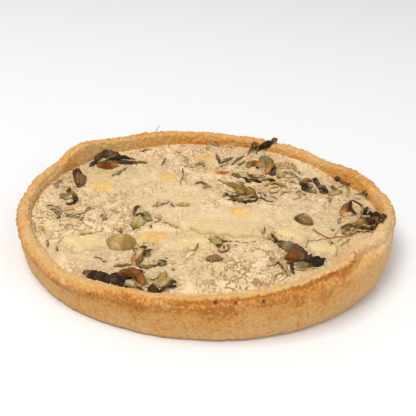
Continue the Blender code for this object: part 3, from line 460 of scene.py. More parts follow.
        Sheet(0.3, 0, ((330.8, 187.5, 0.8, 0.8, "y"), (332.5, 185.6, 1.6, 1.4, "k"),
            (335, 188, 1.4, 1.8, "g"), (337.5, 188.8, 0.6, 1.1, "g"))),
        Sheet(0.1, 0, ((328, 195, 0.2, 2.4, "g"), (334, 192.8, 0.5, 4, "t"),
            (341.5, 190.6, 0.3, 2.4, "g"))),
        Sheet(0.3, 0, ((296.3, 192.5, 0.5, 1.2, "g"), (298.2, 190, 1.2, 1.4, "g"),
            (300.5, 191.8, 0.8, 1.4, "o"), (299, 194, 0.4, 1, "g"))),
    )),
    Leaf("leaf_wall_right", "leaf_dark", (
        Sheet(0.2, 20, ((335.6, 180, 1.2, 1.6, "k"), (336.8, 177.4, 2.2, 1.9, "u"),
            (338.8, 179.6, 1.6, 1.2, "d"), (341.5, 182.2, 1.2, 0.7, "b"), (345.5, 184, 1, 0.8, "b"),
            (349.8, 184.2, 0.9, 0.9, "u"))),
    )),
    Leaf("leaf_olive_right", "leaf_olive", (
        Sheet(0.2, 30, ((355, 222, 1, 1.6, "d"), (359, 221, 2.4, 4, "a"), (364, 220.5, 2.8, 4.2, "o"),
            (369, 219.5, 2, 3, "d"), (372, 218.5, 1, 1.6, "k"))),
        Sheet(0.2, 20, ((359.5, 225, 0.8, 1.4, "o"), (364, 224.5, 1.4, 1.8, "m"), (369, 223, 1, 1.4, "o"))),
        Sheet(0.15, 30, ((352.5, 233, 0.6, 1, "y"), (356, 229.8, 1.4, 1.4, "o"),
            (362, 227.6, 1.8, 1.8, "d"), (371, 228, 1.2, 1.6, "o"))),
        Sheet(0.15, 20, ((354, 231.5, 0.6, 0.7, "y"), (360, 229.6, 1.4, 0.9, "w"),
            (368, 229.8, 1.4, 0.8, "y"))),
    )),
    Leaf("leaf_black_right", "leaf_black", (
        Sheet(0.1, 0, ((363.2, 213.5, 1.2, 1.8, "k"), (365, 210.5, 2.2, 3.2, "k"),
            (367.4, 206.6, 2, 1.6, "d"))),
        Sheet(0.1, 0, ((367.4, 213.5, 1.6, 0.6, "w"), (369.4, 208, 2.6, 0.6, "g"))),
        Sheet(0.35, 30, ((369.3, 211.5, 2.2, 2.2, "k"), (373.5, 213.5, 3.2, 3.4, "k"),
            (378, 216, 3.4, 3.4, "k"), (383.5, 218.4, 2.6, 1.4, "d"))),
        Sheet(0.35, 30, ((366, 223, 1.2, 2.6, "d"), (371, 220.5, 2.8, 5, "d"), (376.5, 221, 2.8, 4.4, "b"),
            (381.5, 220, 2.6, 2, "b"))),
        Sheet(0.4, 10, ((369.5, 226.5, 0.8, 2, "k"), (372.5, 228.2, 1.2, 2.2, "k"),
            (374.5, 229.8, 0.6, 1, "d"))),
    )),
    Leaf("leaf_arch_right", "leaf_rust", (
        Sheet(0.12, 30, ((340.5, 215.6, 0.6, 1.6, "a"), (343.8, 211.2, 2.8, 3, "a"),
            (346.6, 206.6, 6, 2.8, "b"), (349.4, 202.8, 8.6, 2, "r"), (351.2, 200.6, 10.4, 1.4, "d"))),
        Sheet(0.12, 30, ((356.2, 213, 0.8, 1.4, "o"), (353.6, 209.8, 3.4, 2.4, "a"),
            (351.6, 205.4, 7, 2.2, "r"), (351.4, 201.4, 10, 1.4, "d"))),
        Sheet(0.15, 10, ((342, 215.4, 0.4, 1.6, "t"), (347, 213.4, 1.4, 3.2, "w"),
            (352.5, 212.6, 1.2, 2.8, "t"), (357, 213, 0.6, 1.2, "m"))),
        Sheet(0.12, 50, ((349.5, 200.6, 11, 1.1, "d"), (353, 200.3, 11.3, 0.8, "b"),
            (357.5, 202, 10.6, 0.7, "r"), (361, 204.5, 9, 0.9, "b"), (362.2, 208.5, 6.5, 1.1, "m"),
            (361.5, 213, 4, 1.2, "a"), (360.5, 217, 2, 0.9, "o"))),
        Sheet(0.2, 20, ((349, 214, 1, 0.9, "o"), (352, 212, 1.6, 1.2, "b"), (356.5, 213, 1, 0.7, "o"))),
    )),
    Leaf("leaf_ribbon_right_front", "leaf_dark", (
        Sheet(0.15, 25, ((275.5, 239.5, 0.8, 1.6, "k"), (281, 242.5, 2, 3.4, "u"), (287, 244.5, 3, 4, "g"),
            (293, 246.5, 3.6, 3.9, "u"), (298.5, 249.5, 3.6, 3.6, "u"), (303.5, 255, 2.8, 3.2, "d"),
            (308.5, 260.5, 1.6, 2.6, "k"), (312.5, 264.5, 0.8, 1.6, "k"))),
        Sheet(0.3, 0, ((271.3, 232.5, 1.2, 0.6, "o"), (273.5, 235, 1.6, 1.1, "d"),
            (277, 237.8, 1.6, 1.3, "a"))),
        Sheet(0.3, 0, ((268.5, 238.2, 0.5, 0.5, "o"), (272.5, 239.5, 0.9, 0.8, "a"),
            (276.5, 241.5, 1.2, 1, "k"))),
        Sheet(0.3, 0, ((278, 243, 1, 1, "g"), (280.5, 247, 0.4, 0.9, "k"))),
    )),
    Leaf("leaf_belly_right_front", "leaf_rust", (
        Sheet(0.08, 35, ((284, 257.5, 1, 1.6, "a"), (287, 254.5, 3.4, 3.8, "r"),
            (291.5, 253.2, 5.2, 4.8, "r"), (296.5, 253.8, 5.2, 4.8, "r"), (301, 256.5, 3.4, 3.6, "b"),
            (304.5, 260, 1.2, 1.8, "k"))),
        Sheet(0.1, 0, ((286.5, 261.6, 1.2, 0.8, "b"), (289.5, 261.3, 1.6, 1.2, "r"),
            (292.5, 262, 1.2, 0.8, "k"))),
        Sheet(0.2, 20, ((294.5, 264, 1.2, 2.4, "o"), (300, 264.2, 2, 2.9, "g"), (306, 264.5, 1.8, 2.4, "o"),
            (311, 266, 0.6, 1.4, "k"))),
        Sheet(0.12, 0, ((295.5, 268.3, 0.4, 1.4, "m"), (301, 268.6, 0.6, 1.6, "m"),
            (307, 267.6, 0.4, 1.2, "y"))),
        Sheet(0.15, 0, ((292, 261.5, 2, 1.2, "k"), (292.3, 267, 1, 1.2, "d"), (294, 274.3, 0.3, 0.8, "d"))),
    )),
    Leaf("leaf_tips_right_front", "leaf_black", (
        Sheet(0.5, 20, ((305.5, 262, 1, 2, "k"), (310, 260.5, 1.8, 3.6, "k"), (315, 261, 2, 3.8, "k"),
            (319.5, 261.5, 1.6, 2.6, "k"), (325.8, 258.2, 0.9, 0.6, "k"))),
        Sheet(0.2, 45, ((308.2, 258.4, 1.6, 1.2, "r"), (310.6, 256.2, 2.6, 1.2, "k"),
            (312.3, 253, 3, 0.5, "k"))),
        Sheet(0.2, 30, ((313, 258, 2, 1.4, "k"), (318, 257.2, 2, 1, "k"), (321, 258.5, 1.4, 0.6, "k"))),
        Sheet(0.3, 0, ((311, 265, 0.6, 1.8, "b"), (316, 264.8, 0.9, 1.6, "k"),
            (321.5, 265.3, 0.5, 0.8, "k"))),
    )),
)

# Shreds baked into the skin: tone, half width, then marks of column, row and height.
Shred = namedtuple("Shred", "tone half_width marks")
SHREDS = (
    Shred("g", 1.3, ((112, 175.5, 0.6), (117, 173.3, 1), (121, 170, 1), (126.5, 167, 0.4))),
    Shred("k", 0.9, ((140.5, 151.2, 0.4), (145, 149.8, 0.6), (150.5, 149, 0.3))),
    Shred("o", 0.8, ((47, 205.3, 0.2), (52, 205, 0.5), (57, 206.2, 0.6), (60, 208.2, 0.6), (61, 211, 0.5),
        (59, 213, 0.2))),
    Shred("u", 0.8, ((49.5, 207.3, 0.2), (54, 210, 0.5), (57.5, 213.5, 0.5), (60, 216, 0.4),
        (58, 218.2, 0.3))),
    Shred("g", 1.6, ((52, 207.5, 0.1), (56, 209.5, 0.3), (59, 212, 0.1))),
    Shred("a", 1.5, ((66.5, 210.5, 0.1), (70.5, 209, 0.4), (74.5, 210, 0.1))),
    Shred("g", 1.6, ((54, 183, 0.1), (57, 185.5, 0.3), (56, 188.5, 0.1))),
    Shred("t", 0.9, ((60.5, 180, 0.1), (64, 178.6, 0.4), (68, 180.2, 0.1))),
    Shred("k", 0.7, ((54.4, 184, 0.3), (57.5, 181.4, 0.5), (62, 181, 0.3))),
    Shred("k", 1.1, ((57, 218.6, 0.3), (59.5, 216.5, 0.5))),
    Shred("u", 0.5, ((60, 213.5, 0.3), (66, 215, 0.4), (70.5, 216.6, 0.5), (76, 217, 0.4), (84, 217, 0.1))),
    Shred("o", 0.6, ((65.2, 207.5, 0.3), (64.6, 211, 0.5), (66.5, 213.6, 0.5), (73, 214.1, 0.4),
        (80, 213.6, 0.5), (84.5, 212.5, 0.5), (87, 210, 0.6))),
    Shred("k", 1.5, ((86, 210.8, 0.5), (88.4, 208.6, 0.9), (90.8, 207, 0.6))),
    Shred("p", 1.1, ((89.8, 208.6, 0.4), (93.5, 207, 0.4))),
    Shred("m", 1.3, ((79, 216.6, 0.3), (80.5, 219.8, 0.4))),
    Shred("g", 2, ((101.5, 214, 0.1), (104, 217, 0.4), (103, 221, 0.1))),
    Shred("o", 0.5, ((101, 214.6, 0.2), (104, 213.6, 0.5), (107, 215.4, 0.2))),
    Shred("t", 0.7, ((110.5, 208, 0.2), (114, 210.6, 0.4), (119, 211.8, 0.2))),
    Shred("y", 1.2, ((79, 235, 0.1), (83, 233.6, 0.6), (88, 232.9, 0.8), (92.5, 232.4, 0.3))),
    Shred("o", 0.7, ((113, 227.8, 0.2), (117, 229.2, 0.5), (120, 231, 0.6), (122, 228.4, 0.4))),
    Shred("b", 0.5, ((94.5, 257, 0.1), (99.5, 258, 0.3), (103, 260.6, 0.4), (107, 261.6, 0.1))),
    Shred("t", 0.6, ((153.3, 207.4, 0.2), (155, 204, 0.5), (158.5, 201.8, 0.3))),
    Shred("g", 1.3, ((156.3, 206.8, 0.2), (161, 204, 0.7), (165, 202.4, 1), (169.3, 201, 0.4))),
    Shred("g", 0.7, ((171, 202.4, 0.3), (172.8, 205, 0.6), (174.5, 206.8, 0.2))),
    Shred("t", 1.9, ((155.3, 215.8, 0.2), (159, 216.6, 0.6), (162.5, 217.2, 0.2))),
    Shred("d", 0.8, ((158.8, 218.8, 0.4), (160.6, 219.8, 0.5))),
    Shred("o", 0.8, ((154.5, 222, 0.2), (158, 220.8, 0.5), (161.5, 221.4, 0.3))),
    Shred("t", 0.5, ((161, 221.8, 0.1), (166, 222.4, 0.3), (170, 223.2, 0.3))),
    Shred("t", 1.3, ((169.5, 223, 0.2), (173.5, 225.4, 0.5), (178.5, 227, 0.2))),
    Shred("o", 0.9, ((150, 224.8, 0.2), (151, 227.8, 0.4))),
    Shred("t", 1, ((131.2, 213.8, 0.2), (132, 219.6, 0.3))),
    Shred("o", 1.1, ((194.3, 184.4, 0.2), (198, 182.2, 0.8), (202.5, 181.6, 0.9), (206, 183.8, 0.8),
        (208.5, 187.5, 0.3))),
    Shred("g", 0.7, ((203.5, 184.4, 0.3), (205.5, 188, 0.5), (208, 186.5, 0.3))),
    Shred("g", 0.5, ((208.8, 184.6, 0.2), (211.6, 187.6, 0.2))),
    Shred("o", 1.8, ((195.3, 165.4, 0.2), (199, 163.4, 0.8), (203, 163.8, 0.8), (205, 166.6, 0.2))),
    Shred("d", 0.4, ((195, 165.6, 0.4), (197.5, 162.6, 1), (201.5, 162.2, 1.1), (204.5, 164, 0.7))),
    Shred("g", 0.5, ((176, 151.6, 0.1), (181, 153.4, 0.3), (186, 157.4, 0.3), (188.5, 160.4, 0.1))),
    Shred("g", 0.5, ((180, 164.2, 0.1), (187, 166.4, 0.3), (194.5, 167.2, 0.2))),
    Shred("y", 1.4, ((206.8, 140.5, 0.8), (208.3, 144.5, 0.9), (207.6, 149.5, 0.3))),
    Shred("m", 1, ((209.6, 141.5, 0.9), (209.2, 146, 0.8), (207.8, 150.3, 0.2))),
    Shred("u", 2.2, ((211.8, 142.6, 0.7), (215, 144, 1), (219, 146.6, 0.4))),
    Shred("o", 0.35, ((220, 146.2, 0.3), (227, 147.2, 0.3), (235, 148, 0.2))),
    Shred("a", 1.5, ((286.2, 161, 0.4), (287.6, 164.5, 1), (289.2, 168.5, 0.4))),
    Shred("a", 1.4, ((292.6, 162.4, 0.3), (294.2, 166.5, 0.9), (296.4, 171.4, 0.3))),
    Shred("m", 2.4, ((277.5, 170.5, 0.3), (280.5, 173, 0.8), (282, 177, 0.3))),
    Shred("g", 1.8, ((285.5, 170.4, 0.3), (289.5, 172.4, 0.9), (294.5, 174.8, 0.4))),
    Shred("o", 1.4, ((289.5, 171, 0.6), (293.5, 174, 1), (296.5, 178, 0.4))),
    Shred("m", 1, ((283.5, 172.4, 0.2), (288.5, 171, 0.4))),
    Shred("d", 1.1, ((295, 175, 0.4), (299, 179, 0.5), (301, 181, 0.3))),
    Shred("m", 0.7, ((283, 176.4, 0.2), (290, 177.6, 0.4), (296, 176.4, 0.2))),
    Shred("g", 0.8, ((285, 180.5, 0.2), (292, 181.5, 0.3), (297, 184, 0.2))),
    Shred("k", 0.6, ((297.8, 171.4, 0.2), (301, 174.2, 0.4), (303, 174.6, 0.2))),
    Shred("a", 0.9, ((302, 193.2, 0.2), (306, 194.6, 0.4))),
    Shred("g", 0.5, ((293, 199.4, 0.1), (300, 197.2, 0.3), (303, 195, 0.2))),
    Shred("o", 0.9, ((329.3, 197.2, 0.3), (330.2, 200, 0.5), (329.8, 203.2, 0.1))),
    Shred("o", 0.6, ((326.5, 198.2, 0.2), (330.5, 197.2, 0.3))),
    Shred("o", 0.7, ((338, 187.4, 0.3), (343, 185.6, 0.6), (347, 186.8, 0.6), (350, 190.8, 0.3))),
    Shred("y", 0.9, ((347.8, 188.8, 0.2), (349.2, 192.5, 0.5), (347.5, 197, 0.3))),
    Shred("k", 1, ((355, 194, 0.3), (359, 193.1, 0.9), (363.5, 193.2, 0.9), (367, 196.6, 0.3))),
    Shred("o", 0.5, ((356, 198, 0.2), (360.5, 199, 0.3))),
    Shred("d", 0.4, ((341, 226.4, 1.2), (348, 223.6, 1.8), (356, 225.4, 1.6), (363, 226, 1.6),
        (371, 228.2, 1))),
    Shred("o", 0.7, ((350, 233.6, 0.8), (357, 231, 1.2), (364, 229.8, 1), (373, 231.6, 0.5))),
    Shred("b", 0.6, ((352, 230.6, 1.2), (358, 228.8, 1.4), (366, 229.2, 1))),
    Shred("y", 0.6, ((350, 238.6, 0.3), (344, 243, 0.4), (338.4, 246.8, 0.1))),
    Shred("y", 0.5, ((338, 241.4, 0.2), (341.5, 237.8, 0.4))),
    Shred("k", 0.9, ((331.4, 229, 0.3), (334.2, 230.6, 0.4))),
    Shred("b", 0.9, ((331.3, 243.8, 0.3), (332.8, 241.4, 0.5))),
    Shred("m", 0.7, ((305.4, 248, 0.2), (307, 243.4, 0.5), (308.4, 238, 0.2))),
    # A thin olive shred, partly painted shade under the bud beside it.
    Shred("m", 0.4, ((309, 240.8, 0.2), (314, 240.4, 0.4), (321, 239.3, 0.4), (328, 238.4, 0.1))),
    # A grey shred that is a painted shadow under the foot of the right arch.
    Shred("g", 1.1, ((338.5, 223.5, 0.1), (339.6, 219.5, 0.4), (341, 217.6, 0.4))),
    Shred("m", 0.9, ((266.5, 265.3, 0.2), (272, 264.8, 0.6), (275.5, 261.4, 1.6), (280.5, 261, 2),
        (284, 265, 1.8), (287, 271, 1), (289.8, 276.3, 0.2))),
    Shred("o", 0.9, ((273.4, 264.6, 0.9), (277, 261.6, 2), (280.6, 262.2, 2.2), (283, 266.5, 1.4))),
    Shred("m", 0.7, ((275, 276.8, 0.2), (277, 274.4, 0.6), (283, 274, 0.6), (290.8, 276.2, 0.2))),
    Shred("g", 1, ((271.5, 257, 0.2), (272.5, 262, 0.3))),
    Shred("o", 0.6, ((262, 230, 0.1), (262.5, 235, 0.1))),
    Shred("m", 0.5, ((226, 240.6, 0.3), (233, 240.7, 0.5), (241, 241.3, 0.5), (249, 241.8, 0.4),
        (256, 240.8, 0.2))),
    Shred("o", 0.8, ((234.5, 244.8, 0.2), (236.5, 245.2, 0.3))),
    Shred("d", 0.6, ((138.3, 268.9, 0.6), (141.5, 269.8, 0.9), (145, 272, 0.5))),
    Shred("o", 0.9, ((172.5, 268.5, 0.2), (173.8, 270.2, 0.3))),
    Shred("c", 0.6, ((262, 186.4, 0.3), (263, 191, 0.9), (261.6, 196.8, 0.4))),
    Shred("c", 0.5, ((266.5, 190, 0.3), (267.5, 194, 0.8), (267, 198, 0.3))),
    Shred("w", 0.6, ((270, 187, 0.2), (268.6, 193, 0.6), (269.5, 199, 0.2))),
    Shred("d", 0.6, ((262.5, 197.5, 0.5), (265, 199.5, 0.5))),
    # A grey shred, partly painted shade on the custard beside the ragged leaf.
    Shred("g", 1.3, ((258, 192, 0.5), (264, 193.6, 0.8), (271, 196, 0.6), (277, 199, 0.3))),
    Shred("o", 0.8, ((266, 191, 0.3), (272, 192.6, 0.6), (278, 192, 0.3))),
    Shred("a", 2.2, ((276.8, 166.6, 0.4), (280.4, 164.2, 1.2), (285, 165.6, 0.6))),
    Shred("y", 1.4, ((278, 168.6, 0.4), (282, 166.8, 1), (285.4, 168.2, 0.4))),
    Shred("o", 2.2, ((342.6, 229.8, 0.3), (346.5, 231.6, 0.9), (351, 231.2, 0.8), (354.5, 228.6, 0.3))),
    Shred("b", 0.8, ((46.8, 240, 0.1), (47.4, 243.5, 0.3), (47.8, 247, 0.1))),
    Shred("b", 0.7, ((55.4, 245, 0.1), (56.5, 248, 0.3), (58, 251, 0.1))),
    Shred("t", 0.8, ((66, 225, 0.1), (66.4, 229, 0.3))),
    Shred("a", 0.4, ((34, 222, 0.1), (35, 227, 0.2), (36, 232, 0.1))),
    Shred("a", 0.4, ((41, 226, 0.1), (43, 230, 0.2), (45, 234, 0.1))),
    Shred("t", 0.4, ((58, 243, 0.1), (61, 240, 0.2), (64, 237.5, 0.1))),
)

# Where the skin is tinted, between and beside the leaves: stains, and in places painted shade, as
# along the filling's back edge under the wall, at the foot of the wall at the back left, round the
# teardrop bud and in the right cluster. Column and row in the picture, reach in millimetres,
# strength and tone.
Wash = namedtuple("Wash", "column row reach strength tone")
WASHES_AND_SHADE = (
    Wash(183, 148, 10, 0.7, "t"), Wash(205, 147, 10, 0.8, "t"), Wash(228, 147, 10, 0.8, "t"),
    Wash(262, 148, 8, 0.6, "t"), Wash(70, 174, 9, 0.6, "g"), Wash(90, 166, 7, 1.0, "b"),
    Wash(92, 174, 8, 0.6, "g"), Wash(112, 171, 8, 0.6, "g"), Wash(130, 170, 8, 0.7, "g"),
    Wash(330, 193, 8, 0.7, "g"), Wash(348, 195, 8, 0.8, "g"), Wash(330, 211, 8, 0.6, "m"),
    Wash(350, 214, 9, 0.9, "o"), Wash(309, 227, 6, 1.0, "o"), Wash(328, 224, 8, 0.7, "m"),
    Wash(348, 232, 9, 0.8, "m"), Wash(310, 215, 8, 0.5, "m"), Wash(108, 254, 9, 0.7, "g"),
    Wash(130, 252, 8, 0.5, "g"), Wash(150, 255, 8, 0.7, "g"), Wash(88, 263, 7, 0.4, "g"),
    Wash(168, 264, 7, 0.5, "t"), Wash(248, 155, 8, 0.8, "o"), Wash(266, 155, 8, 0.6, "g"),
    Wash(232, 153, 7, 0.5, "t"), Wash(268, 196, 7, 0.8, "g"), Wash(290, 176, 8, 0.6, "g"),
    Wash(310, 178, 8, 0.6, "g"), Wash(240, 176, 7, 0.5, "o"), Wash(262, 176, 7, 0.5, "g"),
)

# Thin stalks, in the same way: thickness at the root, then marks of column, row and height.
Stalk = namedtuple("Stalk", "name thickness tone marks")
STALKS = (
    Stalk("stalk_right", 1.1, "stalk",
          ((312, 228.6, 1.2), (317, 232, 0.8), (323, 235.6, 0.6), (329, 238, 0.5), (336, 236.9, 0.6),
           (344, 236.3, 0.7), (353, 235.3, 0.8))),
    Stalk("stalk_fork_right", 0.7, "stalk", ((333.5, 236.6, 0.6), (337, 231.4, 1.6), (341.3, 226.6, 2.6))),
    Stalk("stalk_drop_right", 0.8, "stalk", ((329.3, 238.8, 0.4), (329.8, 242.5, 0.4), (331, 246.8, 0.1))),
    Stalk("stalk_tick_1", 1.5, "rust", ((162.5, 164, 0.1), (164.2, 161.5, 1.2), (166.4, 157.4, 2.4))),
    Stalk("stalk_tick_1_foot", 1.6, "amber", ((161.6, 165.6, 0.0), (163.2, 163, 0.5))),
    Stalk("stalk_tick_2", 1.0, "rust", ((182.6, 168.3, 1.0), (183, 172, 1.0), (183, 176.4, 0.5))),
    Stalk("stalk_tick_2_left", 0.8, "olive", ((183, 176, 0.4), (181, 180.6, 0.3), (180, 186.2, 0.0))),
    Stalk("stalk_tick_2_right", 0.8, "tan", ((183, 176, 0.4), (185, 180.5, 0.3), (187, 184.4, 0.0))),
    Stalk("stalk_tick_3", 1.3, "rust", ((198.2, 243.4, 2.2), (197.4, 246.8, 1.4), (196.4, 249, 0.5))),
    Stalk("stalk_tick_3_foot", 1.2, "amber", ((197, 248.5, 0.5), (193.5, 250.3, 0.3), (190, 250.6, 0.0))),
    Stalk("stalk_tick_4", 1.1, "brown", ((264.9, 227, 1.2), (264.5, 230, 0.7), (264.2, 233.6, 0.0))),
)
# The hair that stands behind the rim has x, y and height in millimetres instead.
BACK_STALK = Stalk("stalk_back_rim", 0.8, "stalk", ((-45, 120, 0.0), (-44, 120.5, 3.0), (-41.5, 121, 5.6)))

# Holes and raised spots on the wall: angle, height, radius, depth or rise.
Spot = namedtuple("Spot", "angle height radius depth")
PRICKS = (
    Spot(-87, 28, 0.8, 1.1), Spot(-82, 28, 0.7, 1.0), Spot(-75, 28, 0.8, 1.1), Spot(-120, 21, 0.5, 0.6),
    Spot(-41, 35, 0.9, 1.0), Spot(40, 18, 0.7, 0.8), Spot(95, 20, 0.7, 0.8), Spot(150, 22, 0.6, 0.7),
)
BLISTERS = (
    Spot(-32, 33, 1.5, 0.5), Spot(-27, 28, 1.4, 0.5), Spot(-12, 30, 1.6, 0.5), Spot(-46, 24, 1.5, 0.5),
    Spot(-60, 16, 1.2, 0.4), Spot(-126, 16, 1.6, 0.5), Spot(-130, 20, 1.3, 0.4), Spot(-116, 17, 1.2, 0.4),
    Spot(60, 16, 1.5, 0.5), Spot(120, 12, 1.4, 0.5), Spot(165, 18, 1.5, 0.5), Spot(-160, 13, 1.4, 0.4),
)

# Where the crest's outer edge is a flaky lip, where it is notched, where the pastry is baked more or
# less than elsewhere, and where light and shade are painted on it: middle angle, spread, strength.
Arc = namedtuple("Arc", "angle spread strength")
LIPS = (Arc(-78, 10, 0.6), Arc(-64, 5, 0.9), Arc(-55, 4, 1.1), Arc(-46, 4, 0.9), Arc(-100, 9, 0.25),
        Arc(140, 8, 0.4), Arc(20, 6, 0.35))
NOTCHES = (Arc(138, 1.2, 0.8), Arc(145, 1.6, 0.9), Arc(155, 1.2, 0.7), Arc(163, 1.5, 0.8))
# Inside the rim: darker on the back inner wall, painted shade, and lighter at the back left, painted light.
INNER_BAKE_LIGHT_AND_SHADE = (Arc(140, 26, -0.60), Arc(200, 24, -0.15), Arc(60, 20, -0.15), Arc(92, 24, 0.16),
              Arc(-90, 55, -0.30))
INNER_FLOUR = (Arc(-90, 36, 0.52),)
# Painted light: paler on the fold at the right front and on the left side.
FOLD_PAINTED_LIGHT = (Arc(-26, 9, 0.50), Arc(205, 20, 0.12))
# On the rim: the left is made paler, painted light there.
RIM_BAKE_AND_LIGHT = (Arc(198, 30, -0.20), Arc(-62, 16, -0.16), Arc(-22, 10, -0.20), Arc(16, 22, 0.26),
            Arc(138, 22, 0.18))
# Painted light: the fold at the right front is made paler.
FOLD_PAINTED_LIGHT_BAKE = (Arc(-14, 15, -0.75),)
WALL_BAKE = (Arc(205, 28, -0.24), Arc(-20, 20, -0.20), Arc(-55, 22, -0.12))
# Painted shade: darker at the foot of the wall at the back left.
SHORE_PAINTED_SHADE = (Arc(151, 4, 0.6),)
# How much each of the solid's rows is baked, from the foot of the wall over the crest to the floor.
# The brown band under the rim is partly a painted shadow under its overhang.
ROW_BAKE = (0.42, 0.20, 0.24, 0.40, 0.80, 0.92, 0.66, 0.42, 0.34, 0.32, 0.34, 0.40, 0.48, 0.55)
# Where the wall swells outwards, in millimetres.
WALL_BULGES = (Arc(-95, 55, 0.9), Arc(-63, 14, 0.8))


# ---------------------------------------------------------------- settings

def colour_property(name, description, default):
    """A colour that the user can change."""
    return FloatVectorProperty(name=name, description=description, default=default, subtype="COLOR",
                               size=3, min=0.0, max=1.0)


def length_property(name, description, default, high, low=0.0):
    """A small length, in metres, that the user can change."""
    return FloatProperty(name=name, description=description, default=default, min=low, max=high,
                         precision=5, unit="LENGTH")


class CrustSettings(bpy.types.PropertyGroup):
    """Sizes and colours of the crust."""
    relief: length_property("Relief", "Height of the crust's small bumps", 0.00022, 0.001)
    pale: colour_property("Pale pastry", "Least baked places, low on the wall", (0.68, 0.41, 0.158))
    gold: colour_property("Golden pastry", "Most of the crust", (0.685, 0.328, 0.074))
    # It also paints the shadow under the rim and under the flaky lip.
    brown: colour_property("Brown pastry", "Best baked band under the rim", (0.47, 0.150, 0.010))
    # Colour of the painted shadow under the lip and of the painted shade in the prick holes.
    char: colour_property("Dark spots", "Holes and burnt flakes", (0.10, 0.03, 0.01))


class FillingSettings(bpy.types.PropertyGroup):
    """Sizes and colours of the filling."""
    relief: length_property("Relief", "Height of the skin's wrinkles", 0.0005, 0.002)
    crack_depth: length_property("Crack depth", "Depth of the skin's cracks", 0.0007, 0.002)
    base: colour_property("Skin", "Set custard", (0.668, 0.476, 0.268))
    # Also the painted highlight on raised skin and beside the cracks; the curds mix it in at random.
    light: colour_property("Raised skin", "Edges and bumps", (0.78, 0.60, 0.36))
    crack: colour_property("Cracks", "Inside the cracks", (0.43, 0.24, 0.082))
    hollow: colour_property("Hollows", "Tan hollows between raised skin", (0.56, 0.36, 0.16))
    gold: colour_property("Golden skin", "Over sunk asparagus", (0.74, 0.54, 0.23))


class ToppingSettings(bpy.types.PropertyGroup):
    """Sizes and colours of what is baked into the filling."""
    leaf_thickness: length_property("Leaf thickness", "Thickness of the leaves", 0.00055, 0.002, 0.0002)
    leaf_columns: IntProperty(name="Leaf columns", description="Faces across a leaf", default=12,
                              min=4, max=32)
    fragments: IntProperty(name="Fragments", description="Small torn bits round the leaves", default=190,
                           min=0, max=600)
    curds: IntProperty(name="Curds", description="Small crumbs of custard round the leaves", default=150,
                       min=0, max=600)
    pale: colour_property("Pale asparagus", "Yellow-white flesh", (0.71, 0.55, 0.27))
    cream: colour_property("Cream", "Flesh and folds under a film of custard", (0.69, 0.49, 0.25))
    spear: colour_property("Sunk spear", "The long spear under the skin", (0.57, 0.42, 0.175))
    gold: colour_property("Golden asparagus", "Lightly browned flesh", (0.72, 0.455, 0.135))
    spot: colour_property("Browned spots", "Browned asparagus", (0.60, 0.24, 0.040))
    scorch: colour_property("Scorched spot", "The darkest spot on the asparagus", (0.36, 0.07, 0.008))
    black: colour_property("Black leaf", "Burnt leaves", (0.022, 0.013, 0.007))
    dark: colour_property("Dark leaf", "Dark leaves", (0.052, 0.028, 0.012))
    purple: colour_property("Purple leaf", "Dark leaves with a purple cast", (0.088, 0.056, 0.033))
    brown: colour_property("Brown leaf", "Brown leaves", (0.17, 0.082, 0.030))
    rust: colour_property("Rust leaf", "Glossy rust-coloured leaves", (0.170, 0.043, 0.003))
    amber: colour_property("Amber leaf", "Thin golden-brown leaves", (0.40, 0.185, 0.045))
    olive: colour_property("Olive leaf", "Olive leaves", (0.215, 0.135, 0.028))
    moss: colour_property("Light olive leaf", "Light olive leaves", (0.38, 0.26, 0.074))
    grey: colour_property("Grey leaf", "Grey-green leaves", (0.215, 0.155, 0.070))
    pale_green: colour_property("Pale leaf", "Pale green leaves", (0.50, 0.40, 0.19))
    yellow_green: colour_property("Yellow leaf", "Yellow-green leaves", (0.36, 0.25, 0.050))
    beige: colour_property("Beige leaf", "Beige undersides", (0.62, 0.42, 0.20))
    tan: colour_property("Tan leaf", "Tan threads and folds", (0.46, 0.27, 0.11))
    olive_light: colour_property("Light bud", "Light olive buds", (0.385, 0.245, 0.060))
    bud_grey: colour_property("Grey bud", "Grey-olive buds", (0.18, 0.113, 0.036))
    bud_tan: colour_property("Tan bud", "Tan buds", (0.46, 0.30, 0.11))
    bud_brown: colour_property("Brown bud", "Brown buds", (0.235, 0.105, 0.014))
    stalk: colour_property("Stalk", "Thin stalks", (0.42, 0.21, 0.075))


class StageSettings(bpy.types.PropertyGroup):
    """Floor, lights and camera."""
    floor: colour_property("Floor", "Colour of the floor", (0.82, 0.82, 0.82))
    sky: FloatProperty(name="Sky", description="Strength of the even light", default=0.52, min=0.0, max=5.0)
    key: FloatProperty(name="Key light", description="Power of the main softbox", default=42, min=0.0,
                       max=200.0, unit="POWER")
    lens: FloatProperty(name="Lens", description="Focal length of the camera", default=66.98, min=10, max=300)


class QuicheSettings(bpy.types.PropertyGroup):
    """Everything that can be changed about the quiche."""
    crust: PointerProperty(type=CrustSettings)
    filling: PointerProperty(type=FillingSettings)
    toppings: PointerProperty(type=ToppingSettings)
    stage: PointerProperty(type=StageSettings)


# ---------------------------------------------------------------- small helpers

def smooth_step(value):
    """Ease from 0 to 1."""
    value = np.clip(value, 0.0, 1.0)
    return value * value * (3 - 2 * value)


def bell(value, middle, spread):
    """One at the middle, fading to nothing on both sides."""
    return np.exp(-0.5 * ((value - middle) / spread) ** 2)


def turn_away(angle, middle):
    """Difference of two angles in degrees, from -180 to 180."""
    return (angle - middle + 180) % 360 - 180


def lumps(points, grain, salt=0.0):
    """Smooth noise from about -1 to 1 at each point, with grain bumps for each millimetre."""
    places = np.asarray(points, float) * grain + (salt, salt * 0.7, salt * 1.3)
    flat = places.reshape(-1, 3).tolist()
    found = np.array([noise.noise(place) for place in flat])
    return 2.0 * found.reshape(places.shape[:-1])


